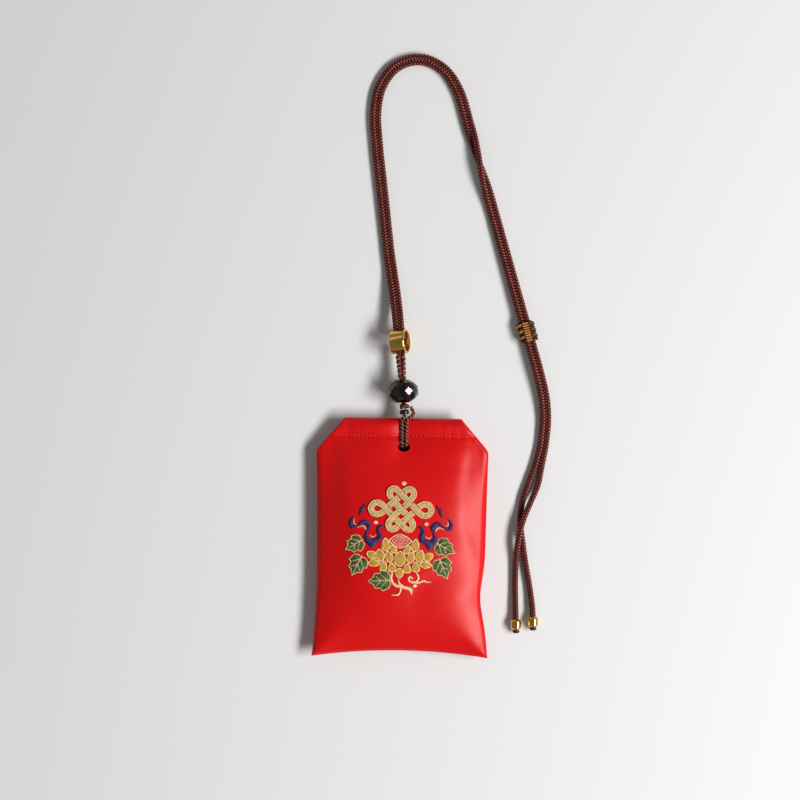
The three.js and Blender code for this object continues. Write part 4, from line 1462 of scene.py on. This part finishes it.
class AMULET_OT_closing_seam(bpy.types.Operator):
    """Run the closing stitches along the hem"""

    bl_idname = "amulet.closing_seam"
    bl_label = "Closing seam"

    def execute(self, context):
        sizes = context.scene.amulet_pouch
        line = sizes.height / 2 - sizes.hem_depth
        long, slip = SEAM_STITCH
        stitches = []
        for x in np.arange(*SEAM_ENDS, SEAM_PITCH) * MM:
            if abs(x + long / 2 - HOLE_CENTRE[0]) > SEAM_CLEAR:
                stitches.append(((x, line), (x + long, line + slip), SEAM_RISE))
        thread = thread_finish("closing_thread", shaded(sizes.satin, 1.1, 0.01), 0.38)
        for panel, side, shift, seed in (("front", 1, 0.0, 3), ("back", -1, 0.66 * MM, 4)):
            height = height_over(f"{panel}_panel_satin", side)
            laid = [((a[0] + shift, a[1]), (b[0] + shift, b[1]), rise) for a, b, rise in stitches]
            piece = sew(f"closing_stitches_{panel}", laid, SEAM_THREAD, height, seed)
            if side < 0:
                piece.data.transform(Matrix.Diagonal((1, 1, side, 1)))
                clean_normals(piece, STITCH_MERGE)
            dress(piece, thread, "charm", "red_satin")
        return {"FINISHED"}


class AMULET_OT_embroidery(bpy.types.Operator):
    """Stitch the endless knot, lotus, ribbons and leaves on the front"""

    bl_idname = "amulet.embroidery"
    bl_label = "Embroidery"

    def execute(self, context):
        self.thread = context.scene.amulet_thread
        self.height = height_over("front_panel_satin")
        self.seed = 20
        edges = self.lotus()
        self.leaves()
        self.knot()
        self.ribbons()
        self.stems(edges)
        return {"FINISHED"}

    def piece(self, name, stitches, tone, thickness=None):
        self.seed += 1
        sewn = sew(name, stitches, thickness or self.thread.thickness, self.height, self.seed)
        dress(sewn, thread_finish(name + "_thread", tone), "charm", "red_satin")

    def laid(self, line, rise, **ways):
        return band(line, self.thread.pitch, rise, **ways)

    def drawn(self, points, rise, **ways):
        """Satin stitches along a smooth line through points in mm, each with its width."""
        return self.laid(smooth_line(points * MM, MOTIF_STEP), rise, **ways)

    def knot(self):
        line, unders, whole = endless_knot()
        clear = KNOT_BAND / 2 + KNOT_GAP
        skips = []
        for at in unders:
            for lap in (-whole, 0, whole):
                skips.append((at - clear + lap, at + clear + lap))
        fill = self.laid(widened(line, KNOT_BAND), rise=0.42 * MM, skips=skips, slant=0.12)
        self.piece("embroidered_knot", fill, self.thread.old_gold)
        # Pale gold stitches along both edges of the band: painted highlight on the band's edges.
        painted_highlight_edges = []
        ahead = unit(np.gradient(line, axis=0))
        across = np.column_stack([-ahead[:, 1], ahead[:, 0]])
        done = lengths_along(line)
        free = np.array([not any(low < gone < high for low, high in skips) for gone in done])
        starts = np.nonzero(free[1:] & ~free[:-1])[0] + 1
        for first in starts:
            rest = np.nonzero(~np.roll(free, -first))[0]
            run = np.arange(first, first + (rest[0] if len(rest) else len(line))) % len(line)
            for side in (-1, 1):
                edge = (line + across * side * KNOT_EDGE * KNOT_BAND)[run]
                painted_highlight_edges += stem(edge, stitch=0.9 * MM, rise=0.50 * MM)
        self.piece("embroidered_knot_edge", painted_highlight_edges, self.thread.pale_gold, thickness=0.36 * MM)

    def lotus(self):
        fill, edges = [], []
        for x, y, lean, long, wide, belly in PETALS:
            for side in ((-1, 1) if x else (1,)):
                lean_to = math.radians(lean) * side
                axis = np.array((math.sin(lean_to), math.cos(lean_to))) * long / 2
                ends = [np.array((x * side, y)) - axis, np.array((x * side, y)) + axis]
                base, tip = motif_turned(np.array(ends) * MM, LOTUS_CENTRE)
                width = (wide - PETAL_GAP_MM) * MM
                rows, edge = petal(base, tip, width, belly, self.thread.pitch, rise=0.34 * MM)
                fill += rows
                edges += stem(edge, stitch=0.8 * MM, rise=0.2 * MM)
        self.piece("embroidered_petals", fill, self.thread.petal_yellow)
        return edges + self.heart()

    def heart(self):
        """The lotus's heart: a lens of rings, pale outside and pink within."""
        x = np.linspace(-1, 1, 50)
        arc = 1 - np.abs(x) ** 1.7
        lens = np.vstack([np.column_stack([x, arc]), np.column_stack([x, -arc])[::-1]]) * (3.6 * MM, 2.1 * MM)
        middle = LOTUS_CENTRE + np.array((0, 5.6)) * MM
        pink = []
        for share, wide in ((0.70, 0.55), (0.42, 0.5), (0.16, 0.4)):
            pink += self.laid(widened(motif_turned(lens * share, middle), wide * MM), rise=0.2 * MM)
        self.piece("embroidered_blossom", pink, self.thread.blossom, thickness=0.28 * MM)
        return stem(motif_turned(lens, middle), stitch=0.8 * MM, rise=0.2 * MM)

    def leaves(self):
        fill, veins = [], []
        for x, y, bearing, size in LEAVES:
            base, tip_at = np.array((x, y)) * MM, math.radians(bearing)
            rows, edge, ribs = lobed_leaf(base, tip_at, size * MM, self.thread.pitch, rise=0.22 * MM)
            fill += rows
            veins += stem(edge, stitch=0.7 * MM, rise=0.2 * MM)
            for rib in ribs:
                veins += self.laid(rib, rise=0.40 * MM, slant=0.5)
        self.piece("embroidered_leaves", fill, self.thread.leaf_green)
        self.piece("embroidered_veins", veins, self.thread.vein, thickness=0.30 * MM)

    def ribbons(self):
        navy, coral = [], []
        for part in (RIBBON, RIBBON_DROP, RIBBON_FLICK):
            for points in (np.array(part), mirrored(part)):
                navy += self.drawn(points * RIBBON_WIDEN, rise=0.30 * MM)
        for part in LININGS:
            for points in (np.array(part), mirrored(part)):
                coral += self.drawn(points, rise=0.24 * MM)
        self.piece("embroidered_ribbons", navy, self.thread.ribbon_navy)
        self.piece("embroidered_linings", coral, self.thread.blossom, thickness=0.30 * MM)

    def stems(self, edges):
        pale = list(edges)
        for part in STEMS:
            pale += self.drawn(np.array(part), rise=0.22 * MM, slant=0.4)
        for x, y, wide in DOTS:
            for share in np.linspace(-0.8, 0.8, 5):
                middle = np.array((x + share * wide / 2, y)) * MM
                tall = np.array((0, math.sqrt(1 - share**2) * wide / 2)) * MM
                pale.append((middle - tall, middle + tall, 0.25 * MM))
        self.piece("embroidered_outlines", pale, self.thread.pale_gold, thickness=0.40 * MM)


# Thin string: how its legs lie in mm, and how its core and its braid turn

LEG_APART = 0.72 * MM
LEG_LIE = 0.92
LEG_STOPS = (36.6, 35.3, 34.0, 32.6, 31.4, 30.6)
CORE_TURN = 4.2 * MM
CORE_REACH = 0.45 * MM
BRAID_TURN = 4.4 * MM
BRAID_WIDTHS = (1.30 * MM, 1.70 * MM, 1.05 * MM)
BRAID_DEPTH = 0.72 * MM


class AMULET_OT_string(bpy.types.Operator):
    """Twist the thin string: its two legs, its knots, its core and its braid"""

    bl_idname = "amulet.string"
    bl_label = "Thin string"

    def execute(self, context):
        string = context.scene.amulet_string
        # The string's colours paint shade between its plies and highlight on their crowns.
        twist = ply_finish("twisted_string", string.shade, string.painted_highlight, 0.5, peak=4.2)
        self.legs(string, twist)
        self.knots(twist)
        self.core_and_braid(twist)
        return {"FINISHED"}

    def legs(self, string, twist):
        height = height_over("front_panel_satin")
        lie = string.diameter / 2 * LEG_LIE
        hole_x, hole_y = HOLE_CENTRE
        left = [on_string(0, 2.8 * MM, 0), on_string(0, 1.8 * MM, 0.05 * MM)]
        left += route((0.40, 38.55, 5.75), (0.05, 37.75, 6.25))
        right = [on_string(2.05 * MM, 3.57 * MM, 0)]
        right += route((2.75, 40.75, 5.05), (3.3, 39.6, 5.2), (2.8, 38.5, 5.75), (1.87, 37.75, 6.3))
        for name, line, side, node in (
            ("left_leg_string", left, -1, "hanger_leg_left"),
            ("right_leg_string", right, 1, "hanger_leg_right"),
        ):
            x = hole_x + side * LEG_APART
            line += [np.array((x, y * MM, height(x, y * MM) + lie)) for y in LEG_STOPS]
            lip = height(hole_x, hole_y + HOLE_SIZE[1] / 2 + 0.5 * MM)
            into = ((29.75 * MM, lip + 0.35 * MM), (29.25 * MM, lip - 0.35 * MM))
            down = ((28.95 * MM, 4.6 * MM), (28.75 * MM, 2.0 * MM))
            line += [np.array((x, y, z)) for y, z in into + down]
            twisted = plies(string.diameter, count=2, depth=0.34, pitch=2.3 * MM)
            leg = tubes(name, [smooth_line(line, 0.16 * MM)], twisted, sides=24)
            dress(leg, twist, "charm", "thin_string", node)

    def knots(self, twist):
        ball = knotted(*STOPPER_SIZE, thread=0.76 * MM)
        twisted = plies(0.78 * MM, count=2, depth=0.3, pitch=1.7 * MM)
        stopper = tubes("stopper_knot_string", [ball], twisted, sides=14, closed=True)
        seat(stopper, up_string(STOPPER_AT))
        dress(stopper, twist, "charm", "thin_string", "stopper_knot")
        low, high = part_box("back_knot")
        ball = knotted(high.x - low.x, high.z - low.z, thread=0.8 * MM)
        twisted = plies(0.82 * MM, count=3, depth=0.28, pitch=2.2 * MM)
        behind = tubes("back_knot_string", [ball], twisted, sides=14, closed=True)
        seat(behind, Matrix.Translation((low + high) / 2) @ Matrix.Rotation(QUARTER_TURN, 4, "X"))
        dress(behind, twist, "charm", "thin_string", "back_knot")

    def core_and_braid(self, twist):
        along = np.linspace(-CRYSTAL_HEIGHT / 2 - 0.2 * MM, CRYSTAL_HEIGHT / 2 + 0.2 * MM, 60) + CRYSTAL_AT
        cores = []
        for side in (0, math.pi):
            turn = TAU * along / CORE_TURN + side
            wound = np.column_stack([CORE_REACH * np.cos(turn), along, CORE_REACH * np.sin(turn)])
            cores.append(all_on_string(wound))
        core = tubes("core_string", cores, plies(0.95 * MM, count=3, depth=0.28, pitch=2.4 * MM), sides=14)
        dress(core, twist, "charm", "thin_string", "string_core")
        t = np.linspace(BRAID_FROM - 0.15 * MM, STRING_KNOT_AT - 0.3 * MM, 150)
        wide = np.interp(t, [BRAID_FROM, BRAID_TO, BRAID_TO + 0.7 * MM], BRAID_WIDTHS)
        thread = np.minimum(0.62 * MM, wide * 0.46).min()
        strands = []
        for k in range(3):
            turn = TAU * (t / BRAID_TURN + k / 3)
            sway = (wide - thread) * np.sin(turn)
            weave = np.minimum(wide - thread, BRAID_DEPTH) * np.sin(2 * turn)
            strands.append(all_on_string(np.column_stack([sway, t, weave])))
        ball = knotted(width=3.7 * MM, height=2.0 * MM, thread=0.9 * MM) + np.array((0, STRING_KNOT_AT, 0))
        strands.append(all_on_string(np.vstack([ball, ball[:1]])))
        heart = np.linspace(BRAID_FROM, BRAID_TO, 60)
        for side in (-0.5 * MM, 0.5 * MM):
            strands.append(all_on_string(np.column_stack([heart * 0 + side, heart, heart * 0])))
        twisted = plies(2 * thread, count=2, depth=0.3, pitch=2.0 * MM)
        braid = tubes("braided_string", strands, twisted, sides=16)
        dress(braid, twist, "charm", "thin_string", "string_braid")


# Faceted bead: rings of corners, each with its turn in facets, its radius and its height in mm

FACETS = 12
FACET_RINGS = ((0.5, 5.0, 0.0), (0, 4.8, 1.3), (0.5, 3.72, 2.6), (0, 1.95, 3.66))


class AMULET_OT_beads(bpy.types.Operator):
    """Polish the faceted bead and turn the seed bead"""

    bl_idname = "amulet.beads"
    bl_label = "Glass beads"

    def execute(self, context):
        string = context.scene.amulet_string
        crystal = self.faceted(up_string(CRYSTAL_AT))
        smoke = glass_finish("smoky_glass", string.smoke, 1.0)
        dress(crystal, smoke, "crystal", "smoky_glass", "crystal_bead", smooth=1)
        turn = np.linspace(0, TAU, 28, endpoint=False)
        middle, half, tall = 1.225 * MM, 0.275 * MM, 0.75 * MM
        profile = [(middle + half * math.cos(a), tall * math.sin(a)) for a in turn]
        bead = seat(turned("seed_glass", profile, steps=48), up_string(SEED_AT))
        dress(bead, glass_finish("dark_glass", string.seed, 0.35, 0.03), "seed", "dark_glass", "seed_bead")
        return {"FINISHED"}

    def faceted(self, place):
        """A bead of flat facets, diamonds round its middle, with a bore along +Y."""
        step = TAU / FACETS
        points = []
        for shift, radius, rise in FACET_RINGS:
            for side in ((-1, 1) if rise else (1,)):
                for k in range(FACETS):
                    angle = (k + shift) * step - FACET_TURN
                    points.append((radius * math.sin(angle), side * rise, radius * math.cos(angle)))
        bead = mesh_piece("faceted_glass", np.array(points) * MM, [])
        shape_mode(bead)
        bpy.ops.mesh.convex_hull()
        bpy.ops.object.mode_set(mode="OBJECT")
        bore, along = 1.3 * MM, (QUARTER_TURN, 0, 0)
        drill = round_punch("bead_drill", vertices=32, radius=bore, depth=20 * MM, rotation=along)
        cut_away(bead, drill)
        return seat(bead, place)


class AMULET_OT_barrel(bpy.types.Operator):
    """Turn the gold connector barrel and pierce its slot and hole"""

    bl_idname = "amulet.barrel"
    bl_label = "Connector barrel"

    def execute(self, context):
        outer, bore, half, round_off = 4.0 * MM, 3.2 * MM, 2.5 * MM, 0.42 * MM
        slot_wide, slot_high, hole_radius = 4.3 * MM, 2.6 * MM, 1.65 * MM
        rim = [(bore, -half + 0.22 * MM), (bore + 0.06 * MM, -half + 0.07 * MM), (bore + 0.2 * MM, -half)]
        for angle in np.radians((0, 18, 36, 54, 72, 90)):
            rim.append((outer - round_off * (1 - math.sin(angle)), -half + round_off * (1 - math.cos(angle))))
        profile = rim + [(radius, -height) for radius, height in reversed(rim)]
        barrel = turned("gold_barrel", profile, steps=96)
        seat(barrel, Matrix.Rotation(-QUARTER_TURN, 4, "Z"))
        clear_selection()
        bpy.ops.mesh.primitive_cube_add(
            size=1, location=(0, outer, 0), scale=(slot_wide, 2 * outer, slot_high)
        )
        slot = added("slot_punch")
        place = {"location": (0, -outer, 0), "rotation": (QUARTER_TURN, 0, 0)}
        hole = round_punch("neck_punch", vertices=40, radius=hole_radius, depth=2 * outer, **place)
        cut_away(barrel, slot, hole)
        seat(barrel, BARREL_FRAME)
        gold = bpy.data.materials["polished_gold"]
        dress(barrel, gold, "strap", "gold_metal", "connector_barrel", smooth=30)
        return {"FINISHED"}


# Slider: its winding, its side loops with their ends in degrees, and its sleeve

WRAP_TURNS = 8
WRAP_PITCH = 0.78 * MM
WRAP_REACH = 1.72 * MM
WRAP_THREAD = 0.58 * MM
WRAP_STEP = 0.12 * MM
LOOP_PLACES = (-1.95 * MM, 0, 1.95 * MM)
LOOP_REACH = 1.76 * MM
LOOP_LEAN = 0.55 * MM
LOOP_ENDS = (-66, 76)
SLEEVE_HALF = 3.2 * MM
SLEEVE_POINTS = 96


class AMULET_OT_slider(bpy.types.Operator):
    """Wind the slider's thread round its sleeve, with its side loops"""

    bl_idname = "amulet.slider"
    bl_label = "Slider"

    def execute(self, context):
        strap = context.scene.amulet_strap
        # The slider thread's colours paint light and shade on its turns, loops and sleeve.
        wrap = ply_finish("slider_thread", strap.wrap_shade, strap.wrap, 0.48)
        across = unit(np.array((SLIDER_RUN[1], -SLIDER_RUN[0], 0.0)))
        over = np.cross(across, SLIDER_RUN)
        self.axes = np.column_stack([across, SLIDER_RUN, over])
        self.apart = strap.strand_pitch / 2
        self.sleeve(wrap)
        winding = tubes("slider_winding_thread", [self.winding()], self.wound_thread, sides=12)
        dress(winding, wrap, "slider", "gold_thread", "slider_winding")
        # The left loops are painted lit and the right loops painted in shade.
        for name, side, light in (("left", -1, 1.0), ("right", 1, 0.35)):
            loops = [self.loop(side, along) for along in LOOP_PLACES]
            outer = tubes(f"slider_{name}_loops", loops, plain(0.86 * MM, light), sides=14)
            dress(outer, wrap, "slider", "gold_thread")
        return {"FINISHED"}

    def wound_thread(self, turn, along):
        """Radius of the wound thread, with painted light on the flat sides of the slider and painted shade on
        its round ends.
        """
        arc = math.pi * WRAP_REACH
        gone = np.mod(along, arc + 2 * self.apart)
        light = np.where(gone > arc, 1.0, 0.12) + 0 * turn
        return np.full_like(light, WRAP_THREAD / 2), light

    def placed(self, points):
        """Points across, along and over the slider, put where it sits."""
        return np.asarray(points) @ self.axes.T + SLIDER_SPOT

    def round_the_strands(self, turns, reach):
        """Points across the slider, on a stadium round both strands."""
        arc = math.pi * reach
        half = arc + 2 * self.apart
        gone = np.mod(turns, 1) * 2 * half
        right = gone < half
        gone = np.where(right, gone, gone - half)
        angle = np.minimum(gone / reach, math.pi) - QUARTER_TURN
        side = np.where(right, 1.0, -1.0)
        flat = np.maximum(gone - arc, 0)
        return side * (self.apart + reach * np.cos(angle) - flat), side * reach * np.sin(angle)

    def winding(self):
        """The line of the thread that is wound round the sleeve."""
        turns = np.linspace(0, WRAP_TURNS, WRAP_TURNS * 90 + 1)
        x, z = self.round_the_strands(turns, WRAP_REACH)
        line = self.placed(np.column_stack([x, (turns - WRAP_TURNS / 2) * WRAP_PITCH, z]))
        return spaced_line(line, WRAP_STEP)

    def loop(self, side, along):
        """A thicker turn of thread that lies round one strand's outer side."""
        angle = np.radians(np.linspace(*LOOP_ENDS, 40))
        x = side * (self.apart + LOOP_REACH * np.cos(angle))
        y = along + LOOP_LEAN * np.sin(angle)
        return self.placed(np.column_stack([x, y, LOOP_REACH * np.sin(angle)]))

    def sleeve(self, wrap):
        """The sleeve under the thread, open for both strands, coloured all in painted shade for the dark
        between the turns.
        """
        turns = np.linspace(0, 1, SLEEVE_POINTS, endpoint=False)
        bore, shoulder, outer, chamfer = 1.12 * MM, 1.40 * MM, 1.46 * MM, 0.1 * MM
        rings = [(bore, -SLEEVE_HALF), (shoulder, -SLEEVE_HALF), (outer, -SLEEVE_HALF + chamfer)]
        rings += [(reach, -along) for reach, along in reversed(rings)]
        points = []
        for reach, along in rings:
            x, z = self.round_the_strands(turns, reach)
            points.append(self.placed(np.column_stack([x, np.full_like(x, along), z])))
        faces = tube_faces(len(rings), len(turns), closed=True)
        piece = mesh_piece("slider_tube", np.vstack(points), faces, crown=np.zeros(len(rings) * len(turns)))
        clean_normals(piece)
        dress(piece, wrap, "slider", "brown_cord", "slider_sleeve", smooth=40)


OPERATORS = (
    AMULET_OT_stage,
    AMULET_OT_strap,
    AMULET_OT_pouch,
    AMULET_OT_filling,
    AMULET_OT_closing_seam,
    AMULET_OT_embroidery,
    AMULET_OT_string,
    AMULET_OT_beads,
    AMULET_OT_barrel,
    AMULET_OT_slider,
)


class AMULET_PT_pieces(bpy.types.Panel):
    """Lists the operators that make the pouch's pieces"""

    bl_idname = "AMULET_PT_pieces"
    bl_label = "Amulet Pouch"
    bl_space_type = "VIEW_3D"
    bl_region_type = "UI"
    bl_category = "Amulet"

    def draw(self, context):
        for operator in OPERATORS:
            self.layout.operator(operator.bl_idname)
        for name in SETTINGS:
            group = getattr(context.scene, name)
            box = self.layout.box()
            for setting in type(group).__annotations__:
                box.prop(group, setting)


def register():
    for made in (*SETTINGS.values(), *OPERATORS, AMULET_PT_pieces):
        bpy.utils.register_class(made)
    for name, group in SETTINGS.items():
        setattr(bpy.types.Scene, name, PointerProperty(type=group))


def unregister():
    for name in SETTINGS:
        delattr(bpy.types.Scene, name)
    for made in (AMULET_PT_pieces, *reversed(OPERATORS), *reversed(SETTINGS.values())):
        bpy.utils.unregister_class(made)


def main():
    register()
    for operator in OPERATORS:
        group, name = operator.bl_idname.split(".")
        getattr(getattr(bpy.ops, group), name)()


if __name__ == "__main__":
    main()
